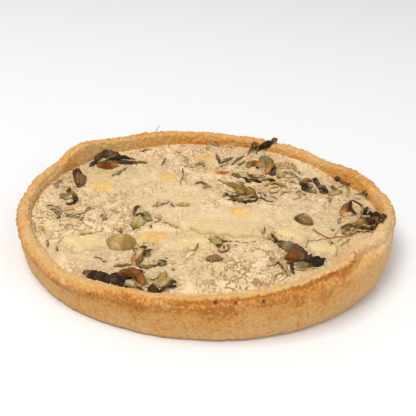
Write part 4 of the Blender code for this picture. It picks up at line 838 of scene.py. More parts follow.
def cells(points, grain, salt=0.0):
    """Distance to the nearest cell border, and a number from 0 to 1 for each cell."""
    places = np.asarray(points, float) * grain + (salt, salt * 0.7, salt * 1.3)
    border = []
    kind = []
    for place in places.reshape(-1, 3).tolist():
        far, near = noise.voronoi(place)
        border.append(far[1] - far[0])
        kind.append((near[0][0] * 12.9898 + near[0][1] * 78.233) % 1.0)
    shape = places.shape[:-1]
    return np.array(border).reshape(shape) / grain, np.array(kind).reshape(shape)


def read_between(values, places, closed=False):
    """Values along the first axis read at places between them, along a smooth curve."""
    count = len(values)
    start = np.floor(places).astype(int)
    if not closed:
        start = np.clip(start, 0, count - 2)
    share = (places - start).reshape((-1,) + (1,) * (values.ndim - 1))
    if closed:
        p0, p1, p2, p3 = (values[(start + step) % count] for step in (-1, 0, 1, 2))
    else:
        p1, p2 = values[start], values[start + 1]
        p0 = np.where((start > 0).reshape(share.shape), values[np.maximum(start - 1, 0)], 2 * p1 - p2)
        last = (start + 2 < count).reshape(share.shape)
        p3 = np.where(last, values[np.minimum(start + 2, count - 1)], 2 * p2 - p1)
    bend = 2 * p0 - 5 * p1 + 4 * p2 - p3 + share * (3 * (p1 - p2) + p3 - p0)
    return p1 + 0.5 * share * (p2 - p0 + share * bend)


def stacked(*parts):
    """Numbers or arrays spread to one shape, and joined as the parts of vectors."""
    return np.stack(np.broadcast_arrays(*parts), axis=-1)


def swung(points, heading):
    """x and y of points turned about the middle by a heading in radians."""
    cosine, sine = math.cos(heading), math.sin(heading)
    return points[..., 0] * cosine - points[..., 1] * sine, points[..., 0] * sine + points[..., 1] * cosine


def grid_faces(rows, columns, closed_rows=False, closed_columns=False):
    """Quads of a grid of points, row after row."""
    number = np.arange(rows * columns).reshape(rows, columns)
    if closed_rows:
        number = np.vstack([number, number[:1]])
    if closed_columns:
        number = np.hstack([number, number[:, :1]])
    corners = (number[:-1, :-1], number[:-1, 1:], number[1:, 1:], number[1:, :-1])
    return np.stack([corner.ravel() for corner in corners], axis=1)


def grid_border(rows, columns):
    """Numbers of the points round the border of a grid, in order."""
    number = np.arange(rows * columns).reshape(rows, columns)
    border = (number[0], number[1:, -1], number[-1, -2::-1], number[-2:0:-1, 0])
    return np.concatenate(border).tolist()


def tube_faces(rows, around, flip_ends=False):
    """Faces of a grid that is closed round its rows, with its two ends."""
    ends = [list(range(around))[::-1], list(range((rows - 1) * around, rows * around))]
    if flip_ends:
        ends = [end[::-1] for end in ends]
    return grid_faces(rows, around, closed_columns=True).tolist() + ends


class Build:
    """Points, faces and values of one mesh, gathered from several shapes."""

    def __init__(self):
        self.points = []
        self.faces = []
        self.values = {}
        self.count = 0

    def add(self, points, faces, **values):
        """Add a shape whose face numbers start from 0."""
        points = np.asarray(points, float).reshape(-1, 3)
        self.points.append(points)
        self.faces += [tuple(int(n) + self.count for n in face) for face in faces]
        for key, value in values.items():
            value = np.asarray(value, float)
            self.values.setdefault(key, []).append(value.reshape(len(points), -1))
        self.count += len(points)

    def finish(self, name, material, slot, *nodes):
        """Make the object, with its finish, riding on the quiche's one body."""
        points = np.concatenate(self.points)
        mesh = bpy.data.meshes.new(name)
        mesh.from_pydata((points * MM).tolist(), [], self.faces)
        for key, value in self.values.items():
            value = np.concatenate(value)
            if value.shape[1] == 3:
                layer = mesh.attributes.new(key, "FLOAT_VECTOR", "POINT")
                layer.data.foreach_set("vector", value.astype(np.float32).ravel())
            else:
                layer = mesh.attributes.new(key, "FLOAT", "POINT")
                layer.data.foreach_set("value", value.astype(np.float32).ravel())
        mesh.materials.append(material)
        mesh.shade_smooth()
        mesh.update()
        made = bpy.data.objects.new(name, mesh)
        bpy.context.scene.collection.objects.link(made)
        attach(made, BODY)
        if nodes:
            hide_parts(*nodes)
        return made


class Paint:
    """Adds the nodes of one material."""

    def __init__(self, name, roughness, specular=0.35):
        self.material = bpy.data.materials.new(name)
        self.material.use_nodes = True
        self.tree = self.material.node_tree
        self.shader = self.tree.nodes["Principled BSDF"]
        self.shader.inputs["Roughness"].default_value = roughness
        self.shader.inputs["Specular IOR Level"].default_value = specular
        self.place = self.node("TexCoord")["Object"]

    def give(self, socket, value):
        """Link a socket to another, or set its value."""
        if isinstance(value, bpy.types.NodeSocket):
            self.tree.links.new(value, socket)
        elif socket.type == "RGBA":
            socket.default_value = (*value, 1.0)
        else:
            socket.default_value = value

    def node(self, kind, inputs=(), **options):
        """Add a node with its options, give its inputs by name or number, and return its outputs."""
        node = self.tree.nodes.new(f"ShaderNode{kind}")
        for option, value in options.items():
            setattr(node, option, value)
        for key, value in dict(inputs).items():
            self.give(node.inputs[key], value)
        return node.outputs

    def math(self, operation, a, b=0.0, c=0.0, clamp=False):
        """A number worked out from others."""
        return self.node("Math", {0: a, 1: b, 2: c}, operation=operation, use_clamp=clamp)[0]

    def times(self, first, *others):
        """The product of two or more numbers."""
        for other in others:
            first = self.math("MULTIPLY", first, other)
        return first

    def value(self, name):
        """A number painted on the mesh."""
        return self.node("Attribute", attribute_name=name)["Fac"]

    def vector(self, name):
        """Three numbers painted on the mesh."""
        return self.node("Attribute", attribute_name=name)["Vector"]

    def stretched(self, place, scale):
        """A place scaled by a different amount along each axis."""
        return self.node("Mapping", {"Vector": place, "Scale": scale})[0]

    def cloud(self, per_mm, detail=2.0, rough=0.5, warp=0.0, place=None):
        """Noise around 0.5 with per_mm bumps for each millimetre."""
        if place is None:
            place = self.place
            per_mm = per_mm / MM
        return self.node("TexNoise", {"Vector": place, "Scale": per_mm, "Detail": detail,
                                      "Roughness": rough, "Distortion": warp})["Fac"]

    def borders(self, place, per_mm, wander):
        """Distance in cells to the border of cells with per_mm cells for each millimetre of place."""
        bend = self.node("TexNoise", {"Vector": place, "Scale": per_mm * 1.4})["Color"]
        shift = (wander / per_mm,) * 3
        bent = self.node("VectorMath", {0: bend, 1: shift, 2: place}, operation="MULTIPLY_ADD")[0]
        inputs = {"Vector": bent, "Scale": per_mm}
        return self.node("TexVoronoi", inputs, feature="DISTANCE_TO_EDGE")["Distance"]

    def band(self, value, low, high):
        """0 below low and 1 above high, eased between; the other way round if low is the larger."""
        ends = (low, high, 0.0, 1.0) if low < high else (high, low, 1.0, 0.0)
        inputs = dict(zip(("From Min", "From Max", "To Min", "To Max"), ends), Value=value)
        return self.node("MapRange", inputs, interpolation_type="SMOOTHSTEP")["Result"]

    def mix(self, share, a, b):
        """A colour between two others."""
        return self.node("Mix", {0: share, 6: a, 7: b}, data_type="RGBA")[2]

    def vary(self, colour, share, low, high):
        """A colour made darker or lighter: times low where share is 0, and high where it is 1."""
        scale = self.node("MapRange", {"Value": share, "To Min": low, "To Max": high})["Result"]
        return self.node("VectorMath", {0: colour, "Scale": scale}, operation="SCALE")[0]

    def bump(self, height, depth_mm, under=None):
        """A fine relief over another one."""
        inputs = {"Strength": 1.0, "Distance": depth_mm * MM, "Height": height}
        if under is not None:
            inputs["Normal"] = under
        return self.node("Bump", inputs)[0]

    def done(self, colour, normal=None, roughness=None):
        """Join the finished colour, relief and roughness to the shader."""
        joined = {"Base Color": colour, "Normal": normal, "Roughness": roughness}
        for key, value in joined.items():
            if value is not None:
                self.give(self.shader.inputs[key], value)
        return self.material


# ---------------------------------------------------------------- what the frame says

def solid_points(node):
    """Corner points of a solid in millimetres, each once, and its faces."""
    mesh = frame["nodes"][node].data
    points = np.empty(len(mesh.vertices) * 3)
    mesh.vertices.foreach_get("co", points)
    points = np.round(points.reshape(-1, 3) / MM, 3)
    points, number = np.unique(points, axis=0, return_inverse=True)
    number = number.ravel()
    faces = [tuple(int(number[v]) for v in face.vertices) for face in mesh.polygons]
    return points, faces


def crust_rows():
    """The crust solid's sections: radius and height of each row at each angle."""
    points, faces = solid_points("crust")
    radius = np.hypot(points[:, 0], points[:, 1])
    lowest = np.nonzero((points[:, 2] < FOOT_HEIGHT) & (radius > HUB_REACH))[0]
    count = len(lowest)
    spoke = np.round(np.arctan2(points[:, 1], points[:, 0]) / (2 * math.pi) * count).astype(int) % count
    near = {}
    for face in faces:
        for a, b in zip(face, face[1:] + face[:1]):
            if spoke[a] == spoke[b] and min(radius[a], radius[b]) > HUB_REACH:
                near.setdefault(a, set()).add(b)
                near.setdefault(b, set()).add(a)
    sections = [None] * count
    for start in lowest:
        chain = [int(start)]
        while True:
            ahead = [number for number in near[chain[-1]] if number not in chain]
            if not ahead:
                break
            chain.append(ahead[0])
        sections[spoke[start]] = stacked(radius[chain], points[chain, 2])
    return np.array(sections)


class Rim:
    """Lines that run round the crust, read at any angle in degrees."""

    def __init__(self):
        self.sections = crust_rows()
        self.count = len(self.sections)

    def at(self, angle, row):
        """Radius and height of one of the solid's rows."""
        angle = np.asarray(angle, float)
        places = (angle.ravel() / 360 % 1.0) * self.count
        found = read_between(self.sections[:, row], places, closed=True)
        return found[:, 0].reshape(angle.shape), found[:, 1].reshape(angle.shape)


class Sight:
    """Lines of sight from the camera through the reference picture."""

    def __init__(self):
        self.back = Vector((0, -math.cos(CAMERA_ELEVATION), math.sin(CAMERA_ELEVATION)))
        up = Vector((0, math.sin(CAMERA_ELEVATION), math.cos(CAMERA_ELEVATION)))
        right = Vector((1, 0, 0))
        cosine, sine = math.cos(CAMERA_ROLL), math.sin(CAMERA_ROLL)
        self.right = cosine * right + sine * up
        self.up = cosine * up - sine * right
        self.start = CAMERA_TARGET + self.back * CAMERA_DISTANCE
        lens = bpy.context.scene.quiche.stage.lens
        self.focal_pixels = lens / SENSOR * PICTURE_SIDE

    def turned(self):
        """The camera's place and turn."""
        axes = Matrix((self.right, self.up, self.back)).transposed().to_4x4()
        return Matrix.Translation(self.start) @ axes

    def ahead(self, column, row):
        """Direction in which a pixel of the picture is seen."""
        across = (column - PICTURE_SIDE / 2) / self.focal_pixels
        down = (row - PICTURE_SIDE / 2) / self.focal_pixels
        return (self.right * across - self.up * down - self.back).normalized()

    def at_level(self, column, row, height):
        """x and y, in millimetres, where a pixel is seen at a height."""
        ahead = self.ahead(column, row)
        place = self.start + ahead * ((height * MM - self.start.z) / ahead.z)
        return place.x / MM, place.y / MM


Piece = namedtuple("Piece", "name x y z heading half_length half_width half_height proud")


def mound_reach(mound, x, y):
    """How far out from a mound's spine each place is, 1 at its half width."""
    along, across = seen_along(mound, x, y)
    end = np.maximum(0.0, np.abs(along) - mound.half_length + mound.half_width)
    return np.hypot(end, across) / mound.half_width


def skin_base(rim, x, y):
    """Height of the filling's skin without its fine relief."""
    angle = np.degrees(np.arctan2(y, x))
    shore_radius, shore_height = rim.at(angle, SHORE_ROW)
    away = smooth_step((shore_radius - np.hypot(x, y)) / SHORE_BLEND)
    places = stacked(x, y, FILLING_SLICE / FILLING_GRAIN)
    inside = FILLING_LEVEL + 0.5 * FILLING_RELIEF * lumps(places, FILLING_GRAIN)
    for mound in MOUNDS:
        inside = inside + mound.rise * (1 - np.clip(mound_reach(mound, x, y) / MOUND_FOOT, 0, 1) ** 3)
    return shore_height * (1 - away) + inside * away


def seen_along(thing, x, y):
    """Places along and across something that has a middle and a heading, in millimetres."""
    turn = math.radians(thing.heading)
    along = (x - thing.x) * math.cos(turn) + (y - thing.y) * math.sin(turn)
    across = -(x - thing.x) * math.sin(turn) + (y - thing.y) * math.cos(turn)
    return along, across


def set_piece(rim, node):
    """Where a long solid lies, and how big it is."""
    points, _ = solid_points(node)
    middle = (points.min(0) + points.max(0)) / 2
    flat = points[:, :2] - middle[:2]
    _, _, axes = np.linalg.svd(flat, full_matrices=False)
    ahead = axes[0]
    along = flat @ ahead
    side = flat @ np.array((-ahead[1], ahead[0]))
    # A bud's blunt end holds more of its points' width than its tip.
    if np.abs(side[along > 0]).mean() < np.abs(side[along < 0]).mean():
        ahead = -ahead
    top = points[:, 2].max()
    level = float(skin_base(rim, np.array([middle[0]]), np.array([middle[1]]))[0])
    heading = math.degrees(math.atan2(ahead[1], ahead[0]))
    if node.startswith("asparagus") and math.cos(math.radians(heading)) < 0:
        heading += 180
    return Piece(node, middle[0], middle[1], middle[2], heading, np.abs(along).max(), np.abs(side).max(),
                 np.ptp(points[:, 2]) / 2, top - level)


def set_pieces(rim):
    """Every asparagus piece and bud."""
    return [set_piece(rim, node) for node in sorted(frame["nodes"]) if node.startswith(("asparagus", "bud"))]


def custard_rise(piece):
    """How far the custard climbs round a piece, in millimetres."""
    return min(CLIMB_SHARE * piece.proud, CLIMB_LIMIT)


def lens_reach(piece, along, across, places):
    """1 on the ragged outline of the lens-shaped patch that a sunk piece shows as."""
    ragged = 0.12 * lumps(places * (1, 0.6, 0), 0.22, 71)
    return np.hypot(along / (1.05 * piece.half_length), across / (1.75 * piece.half_width)) + ragged


def away_from(piece, x, y):
    """Distance in millimetres outside the line where a piece leaves the skin."""
    along, across = seen_along(piece, x, y)
    sunk = max(piece.half_height - piece.proud, 0.0)
    half = piece.half_width * math.sqrt(max(1 - (sunk / piece.half_height) ** 2, 0.05))
    end = np.maximum(0.0, np.abs(along) - piece.half_length + half)
    return np.hypot(end, across) - half


# ---------------------------------------------------------------- crust

def crust_material(settings):
    """Baked pastry: pale, golden and brown by how much it is baked, with fine specks, and with
    painted light and shade.
    """
    flake_colour = (0.82, 0.53, 0.22)
    flour_and_light_colour = (0.82, 0.60, 0.34)
    paint = Paint("pastry", 0.62, 0.28)
    bake = paint.value("bake")
    fine = paint.cloud(0.55, 4, 0.6)
    grain = paint.cloud(2.2, 3, 0.6)
    for speckle, share in ((fine, 0.75), (grain, 0.40)):
        bake = paint.math("MULTIPLY_ADD", paint.math("SUBTRACT", speckle, 0.5), share, bake)
    colour = paint.mix(paint.band(bake, 0.10, 0.5), settings.pale, settings.gold)
    colour = paint.mix(paint.band(bake, 0.5, 0.95), colour, settings.brown)
    specks = paint.band(paint.cloud(0.55, 3, 0.65, 0.5), 0.54, 0.62)
    colour = paint.mix(paint.times(specks, 0.50), colour, settings.brown)
    flakes = paint.band(paint.cloud(0.42, 3, 0.65, 0.5), 0.54, 0.64)
    colour = paint.mix(paint.times(flakes, 0.42), colour, flake_colour)
    colour = paint.vary(colour, paint.cloud(1.1, 3, 0.6), 0.86, 1.13)
    # Floury paleness, and painted light on the folds and partly on the lip.
    colour = paint.mix(paint.value("flour"), colour, flour_and_light_colour)
    # Painted shadow under the lip and painted shade in the prick holes.
    colour = paint.mix(paint.value("char"), colour, settings.char)
    normal = paint.bump(paint.cloud(0.8, 4, 0.7), 0.60)
    normal = paint.bump(grain, 0.12, normal)
    return paint.done(colour, normal, paint.math("MULTIPLY_ADD", fine, 0.25, 0.48))


def crust_grid(rim):
    """Smooth surface of the crust through the solid's sections: angles, rows and points."""
    places = np.concatenate([start + np.arange(steps) / steps for start, steps in enumerate(CRUST_STEPS)])
    places = np.append(places, len(CRUST_STEPS))
    sections = read_between(rim.sections.transpose(1, 0, 2), places)
    turns = np.arange(CRUST_COLUMNS) * rim.count / CRUST_COLUMNS
    sections = read_between(sections.transpose(1, 0, 2), turns, closed=True)
    angle = turns / rim.count * 360
    radius, height = sections[..., 0], np.maximum(sections[..., 1], 0.0)
    turn = np.radians(angle)[:, None]
    return angle, places, stacked(radius * np.cos(turn), radius * np.sin(turn), height)


def surface_normals(points):
    """Unit normals of a grid of points that is closed along its first axis."""
    round_it = np.roll(points, -1, axis=0) - np.roll(points, 1, axis=0)
    along = np.gradient(points, axis=1)
    normals = np.cross(round_it, along)
    return normals / np.maximum(np.linalg.norm(normals, axis=-1, keepdims=True), 1e-9)


def sum_of(arcs, degrees):
    """Sum of soft swellings round the crust."""
    return sum(arc.strength * bell(turn_away(degrees, arc.angle), 0, arc.spread) for arc in arcs)


class CrustGrid:
    """The crust's grid of points, and the noise and lines that its relief and baking share."""

    def __init__(self):
        angle, places, points = crust_grid(Rim())
        self.points = points
        self.row = np.broadcast_to(places[None, :], points.shape[:2])
        self.degrees = np.broadcast_to(angle[:, None], points.shape[:2])
        bulge = sum_of(WALL_BULGES, self.degrees) * (1 - self.past(4, 3.5))
        points[..., :2] *= (1 + bulge / np.hypot(points[..., 0], points[..., 1]))[..., None]
        self.wide = lumps(points, 0.09, 3)
        self.middle = lumps(points, 0.27, 11)
        self.small = lumps(points, 0.75, 23)
        self.tiny = lumps(points, 1.7, 31)
        border, kind = cells(points, 0.33, 5)
        self.pits = smooth_step(1 - border) * (kind < 0.35)
        # The flaky lip runs along a ragged edge a little below the crest.
        self.lip = sum_of(LIPS, self.degrees)
        flat = points * (1, 1, 0)
        self.edge = CREST_ROW - 1.1 + 0.25 * lumps(flat, 0.5, 51) + 0.15 * lumps(flat, 1.3, 53)

    def past(self, row, width):
        """0 up to a row, easing to 1 within a width, in rows."""
        return smooth_step((self.row - row) / width)

    def by(self, row, spread):
        """One along a row, fading to nothing on both sides."""
        return bell(self.row, row, spread)

    def spot(self, spot):
        """One in the middle of a spot on the wall, fading outwards."""
        along = turn_away(self.degrees, spot.angle) * 2.2
        away = np.hypot(along, self.points[..., 2] - spot.height) / spot.radius
        return np.exp(-away ** 2) * (self.row < CREST_ROW)


def crust_relief(grid, relief):
    """How far each point of the crust is pushed outwards, in millimetres."""
    push = relief * (0.9 * grid.wide + 1.1 * grid.middle + 0.9 * grid.small + 0.6 * grid.tiny)
    # The crest is lumpier.
    push += 0.42 * grid.small * grid.by(CREST_ROW - 0.5, 2.4)
    # Finger marks that cross the rim.
    push += 0.34 * lumps(grid.points * (1, 1, 0.25), 0.16, 41) * grid.by(CREST_ROW, 2.2)
    push -= 0.16 * grid.pits * (grid.row > 1)
    # The lip stands out over a groove, and notches are cut below the crest.
    push += grid.lip * (0.45 * grid.by(grid.edge + 0.3, 0.32) - 0.50 * grid.by(grid.edge - 0.55, 0.28))
    push -= 0.8 * sum_of(NOTCHES, grid.degrees) * grid.by(CREST_ROW - 2, 0.9)
    push -= sum(prick.depth * grid.spot(prick) for prick in PRICKS)
    push += sum(blister.depth * grid.spot(blister) for blister in BLISTERS)
    return push * (1 - grid.past(SHORE_ROW, 1))


def crust_painted_shade(grid):
    """How dark each point is painted: painted shadow under the flaky lip and painted shade in the holes."""
    char = 0.20 * grid.lip * grid.by(grid.edge - 0.5, 0.20) * smooth_step(0.4 + 0.9 * grid.middle)
    return char + 0.95 * sum(smooth_step(grid.spot(prick) * 2.6) for prick in PRICKS)


def crust_flour_and_light(grid):
    """How floury and pale each point is: in spots, blisters and inside the rim, with painted light on
    the folds and partly on the lip.
    """
    flour = 0.14 * smooth_step(lumps(grid.points, 0.6, 61) * 2 - 1.15) * (grid.row < CREST_ROW - 1)
    flour += 0.40 * grid.lip * grid.by(grid.edge + 0.4, 0.28) * smooth_step(0.6 + 0.8 * grid.small)
    flour += sum_of(INNER_FLOUR, grid.degrees) * grid.past(CREST_ROW, 1)
    flour += sum_of(FOLD_PAINTED_LIGHT, grid.degrees) * grid.past(3, 2) * (grid.row < CREST_ROW + 1)
    return flour + 0.35 * sum(smooth_step(grid.spot(blister) * 1.5) for blister in BLISTERS)


def crust_bake_light_and_shade(grid):
    """How much each point is baked, with painted light and shade worked in: pale at 0, golden at half
    and brown at 1.
    """
    bake = np.interp(grid.row, range(len(ROW_BAKE)), ROW_BAKE) + 0.16 * lumps(grid.points, 0.05, 71)
    bake += 0.12 * grid.wide + 0.08 * grid.middle + 0.15 * grid.pits
    bake += 0.20 * grid.small * grid.by(CREST_ROW - 1, 3)
    # Brown under the lip, a painted shadow there, and paler on it, partly a painted highlight on its flakes.
    bake += 1.1 * grid.lip * (grid.by(grid.edge - 0.6, 0.30) - 0.5 * grid.by(grid.edge + 0.4, 0.28))
    # Sides of the crust that are baked more or less, and sides with painted light and shade.
    bake += sum_of(INNER_BAKE_LIGHT_AND_SHADE, grid.degrees) * grid.past(CREST_ROW + 0.3, 1.5)
    bake += sum_of(RIM_BAKE_AND_LIGHT, grid.degrees) * grid.by(CREST_ROW - 0.5, 1.6)
    bake += sum_of(WALL_BAKE, grid.degrees) * (1 - grid.past(4, 3))
    bake += sum_of(FOLD_PAINTED_LIGHT_BAKE, grid.degrees) * grid.past(2, 2) * (grid.row < CREST_ROW + 1)
    bake += sum_of(SHORE_PAINTED_SHADE, grid.degrees) * grid.past(SHORE_ROW - 2, 1)
    # A thin brown line of painted shade where the filling meets the wall.
    broken = 0.4 + 0.6 * smooth_step(0.5 + lumps(grid.points, 0.15, 81))
    return bake + 0.22 * broken * grid.by(SHORE_ROW, 0.35)


def closed_crust(points):
    """The crust's points with the middles of its underside and floor added, and its faces."""
    rows = points.shape[1]
    hub = CRUST_COLUMNS * rows
    faces = grid_faces(CRUST_COLUMNS, rows, closed_rows=True)[:, ::-1].tolist()
    for column in range(CRUST_COLUMNS):
        here, there = column * rows, (column + 1) % CRUST_COLUMNS * rows
        faces += [(there, here, hub), (here + rows - 1, there + rows - 1, hub + 1)]
    return np.vstack([points.reshape(-1, 3), (0, 0, 0), (0, 0, FLOOR_THICKNESS)]), faces


def make_crust(settings):
    """The baked crust, with relief, holes, blisters and a flaky lip."""
    grid = CrustGrid()
    push = crust_relief(grid, settings.relief / MM)
    points = grid.points + surface_normals(grid.points) * push[..., None]
    points[..., 2] = np.maximum(points[..., 2], 0.0)
    # Each value is followed by what the two middles get.
    painted_on = {"bake": (crust_bake_light_and_shade(grid), 0.3), "char": (crust_painted_shade(grid), 0.0),
                  "flour": (crust_flour_and_light(grid), 0.0)}
    painted_on = {key: np.append(np.clip(value, 0, 1.2), (hub, hub))
                  for key, (value, hub) in painted_on.items()}
    build = Build()
    build.add(*closed_crust(points), **painted_on)
    build.finish("crust_baked", crust_material(settings), "crust", "crust")


# ---------------------------------------------------------------- filling

def filling_material(settings):
    """Set custard skin: matte cream with thin tan cracks and stains, painted highlights on raised skin
    and beside the cracks, and painted shade in places.
    """
    speck_colour = (0.34, 0.20, 0.08)
    paint = Paint("custard_skin", 0.6, 0.25)
    rough_place = paint.value("rough")
    # Seen from a low angle, the skin's marks are about twice as deep as they are wide.
    deep = paint.stretched(paint.place, (1 / MM, 0.5 / MM, 1 / MM))
    fine = paint.cloud(0.9, 4, 0.6, place=deep)
    # Higher skin is painted lighter: a painted highlight on the tops of the relief.
    colour = paint.mix(paint.band(paint.value("high"), 0.30, 0.85), settings.base, settings.light)
    colour = paint.mix(paint.value("gold"), colour, settings.gold)
    # Stains, and painted shade from some of the washes, tint the skin in patches.
    patchy = paint.band(paint.cloud(0.42, 4, 0.65, 0.4), 0.36, 0.62)
    stain = paint.math("MAXIMUM", paint.times(paint.value("stain"), patchy), paint.value("flush"))
    colour = paint.mix(stain, colour, paint.vector("tint"))
    # Cracks follow the borders of bent cells, and are broken into short strokes; beside them the skin
    # gets a painted highlight.
    plates = paint.stretched(paint.place, (0.66 / MM, 0.66 / MM, 1 / MM))
    lines = 0.0
    for per_mm, width, mask in ((0.15, 0.060, 0.09), (0.33, 0.105, 0.14)):
        border = paint.borders(plates, per_mm, 1.1)
        open_here = paint.band(paint.cloud(mask, 2, place=deep), 0.47, 0.53)
        broken = paint.band(paint.cloud(per_mm * 1.3, 2, place=deep), 0.41, 0.49)
        open_here = paint.times(open_here, broken)
        line = paint.times(paint.band(border, width * 1.25, width * 0.2), open_here)
        # Painted highlight on the skin beside each crack.
        side = paint.times(paint.band(border, width * 2.6, width * 1.2), open_here, rough_place, 0.55)
        colour = paint.mix(side, colour, settings.light)
        lines = paint.math("MAXIMUM", lines, line)
    lines = paint.times(lines, rough_place)
    colour = paint.mix(paint.times(lines, 0.90), colour, settings.crack)
    # The crack value also holds the painted shade along the foot of the mounds.
    colour = paint.mix(paint.value("crack"), colour, settings.crack)
    hollow = paint.band(paint.cloud(0.30, 3, 0.6, 0.5, place=deep), 0.52, 0.66)
    colour = paint.mix(paint.times(hollow, rough_place, 0.24), colour, settings.hollow)
    colour = paint.vary(colour, fine, 0.84, 1.18)
    specks = paint.band(paint.cloud(1.1, 1, 0.5, 0.6, place=deep), 0.72, 0.78)
    colour = paint.mix(paint.times(specks, 0.4), colour, speck_colour)
    normal = paint.bump(fine, 0.24)
    normal = paint.bump(lines, -0.30, normal)
    normal = paint.bump(paint.cloud(3.0, 3, 0.6), 0.07, normal)
    return paint.done(colour, normal, paint.math("MULTIPLY_ADD", fine, 0.3, 0.45))


def disc_places(count):
    """Places of a square grid bent to a disc of radius 1, evenly spread."""
    line = np.linspace(-1, 1, count)
    u, v = np.meshgrid(line, line)
    wide = np.abs(u) > np.abs(v)
    radius = np.where(wide, u, v)
    safe = np.where(radius == 0, 1.0, radius)
    turn = np.where(wide, math.pi / 4 * v / safe, math.pi / 2 - math.pi / 4 * u / safe)
    return radius * np.cos(turn), radius * np.sin(turn)


def round_patch(x, y, middle_x, middle_y, reach):
    """One in the middle of a soft round patch, fading outwards."""
    return np.exp(-((x - middle_x) ** 2 + (y - middle_y) ** 2) / reach ** 2)


def spread_of(patches, x, y):
    """Sum of soft round patches."""
    return sum(patch.amount * round_patch(x, y, patch.x, patch.y, patch.reach) for patch in patches)


def leaf_marks(leaves=LEAVES):
    """Every mark of some leaves."""
    return [Mark(*mark) for leaf in leaves for sheet in leaf.sheets for mark in sheet.marks]


def stain_and_shade_marks(colours):
    """Where leaves and shreds tint the skin, and the listed washes with their stains and painted shade:
    x, y, reach, strength and colour.
    """
    sight = Sight()
    marks = leaf_marks()
    marks += [Mark(*mark, shred.half_width, shred.tone) for shred in SHREDS for mark in shred.marks]
    washes = [Wash(mark.column, mark.row, 2.0 + 1.2 * mark.half_width,
                   0.28 + 0.10 * min(mark.half_width, 3), mark.tone) for mark in marks]
    return [(*sight.at_level(wash.column, wash.row, FILLING_LEVEL), wash.reach, wash.strength,
             colours[TONES[wash.tone].name]) for wash in (*washes, *WASHES_AND_SHADE)]


class Tint:
    """The skin's stains and painted shade: their mean colour at each place, and their weight together."""

    def __init__(self, shape, base):
        self.weight = np.full(shape, 1e-6)
        self.total = self.weight[..., None] * base

    def add(self, share, colour):
        """Add a colour, by its share at each place."""
        self.weight += share
        self.total += share[..., None] * colour

    def mean(self):
        """The stains' mean colour at each place."""
        return self.total / self.weight[..., None]


def meet_pieces(rim, places, bent, tint, colours):
    """How the skin meets the pieces: how near one is, how far it climbs and how much shows through."""
    x, y, _ = np.moveaxis(0.4 * bent + 0.6 * places, -1, 0)
    near, climb, flush = np.zeros((3, *x.shape))
    # A sunk piece shows as a lens-shaped patch, and a bare one tints a thin line round itself.
    for piece in set_pieces(rim):
        away = away_from(piece, x, y)
        near = np.maximum(near, np.exp(-np.maximum(away, 0) ** 2 / 9))
        climb += custard_rise(piece) * np.exp(-np.maximum(away, -1) ** 2 / 4) * (away > -2)
        is_spear = piece.name in SPEAR_TONES
        tone_name, bare, spots = (SPEAR_TONES if is_spear else BUD_TONES)[piece.name]
        along, across = seen_along(piece, x, y)
        tone = painted(tone_name, spots, along / piece.half_length, across / piece.half_width, colours)
        if is_spear and bare < CRISP:
            lens = lens_reach(piece, along, across, places)
            halo = min(1.0, 0.25 + 0.85 * bare) * (1 - smooth_step((lens - 0.70) / LENS_EDGE))
        else:
            halo = (0.2 if is_spear else 0.5) * (1 - smooth_step((away + 0.4) / 1.3))
        tint.add(halo, tone)
        flush = np.maximum(flush, halo)
    return near, climb, flush


def mound_tint_and_foot_shade(x, y, bent, tint, colours):
    """Tint the mounds, and paint shade along the foot of each one's front side."""
    foot_shade = np.zeros_like(x)
    for mound in MOUNDS:
        _, across = seen_along(mound, x, y)
        reached = mound_reach(mound, bent[..., 0], bent[..., 1])
        foot_shade += 0.24 * mound.rise * bell(reached, MOUND_FOOT, 0.12) * (across < 0)
        tint.add(0.20 * mound.rise * (1 - smooth_step((reached - 0.9) / 0.4)), colours["spear"])
    return foot_shade


def skin_relief(places, bent, rough, settings):
    """The skin's height over its smooth level, and how open its cracks are."""
    # Cracks run where a noise is near nothing, and the skin beside the wide ones is lifted.
    deep = bent * (1, 0.55, 1)
    wave = lumps(deep, 0.15, 29)
    ripple = lumps(deep, 0.34, 37)
    open_wide = smooth_step(1.7 * lumps(places, 0.10, 47) + 0.35)
    open_small = smooth_step(1.8 * lumps(places, 0.17, 59) + 0.15)
    wide = np.exp(-(wave / 0.20) ** 2) * open_wide
    small = np.exp(-(ripple / 0.24) ** 2) * open_small
    lifted = np.exp(-((np.abs(wave) - 0.5) / 0.22) ** 2) * open_wide
    pits = smooth_step(lumps(deep, 0.42, 67) * 2.2 - 1.1)
    height = 0.8 * (0.5 - np.abs(ripple)) + 0.7 * lumps(bent, 0.09, 2) + 0.30 * lumps(places, 1.1, 43)
    height = settings.relief / MM * rough * (height + 0.8 * lifted)
    depth = settings.crack_depth / MM * np.clip(rough, 0, 1.2)
    height -= depth * (0.9 * wide + 0.6 * small + 0.7 * pits * (rough > 0.7))
    return height, np.clip(rough, 0, 1) * (0.22 * wide + 0.14 * small + 0.30 * pits)


def closed_filling(skin):
    """The skin's points with a plain body below them, and its faces."""
    border = grid_border(FILLING_ROWS, FILLING_ROWS)
    top = skin.reshape(-1, 3)
    lower = top[border] * (BODY_TAPER, BODY_TAPER, 0) + (0, 0, BODY_FLOOR)
    faces = grid_faces(FILLING_ROWS, FILLING_ROWS).tolist()
    start, count = len(top), len(border)
    for step in range(count):
        after = (step + 1) % count
        faces.append((border[step], start + step, start + after, border[after]))
        faces.append((start + step, start + count, start + after))
    return np.vstack([top, lower, (0, 0, BODY_FLOOR)]), faces


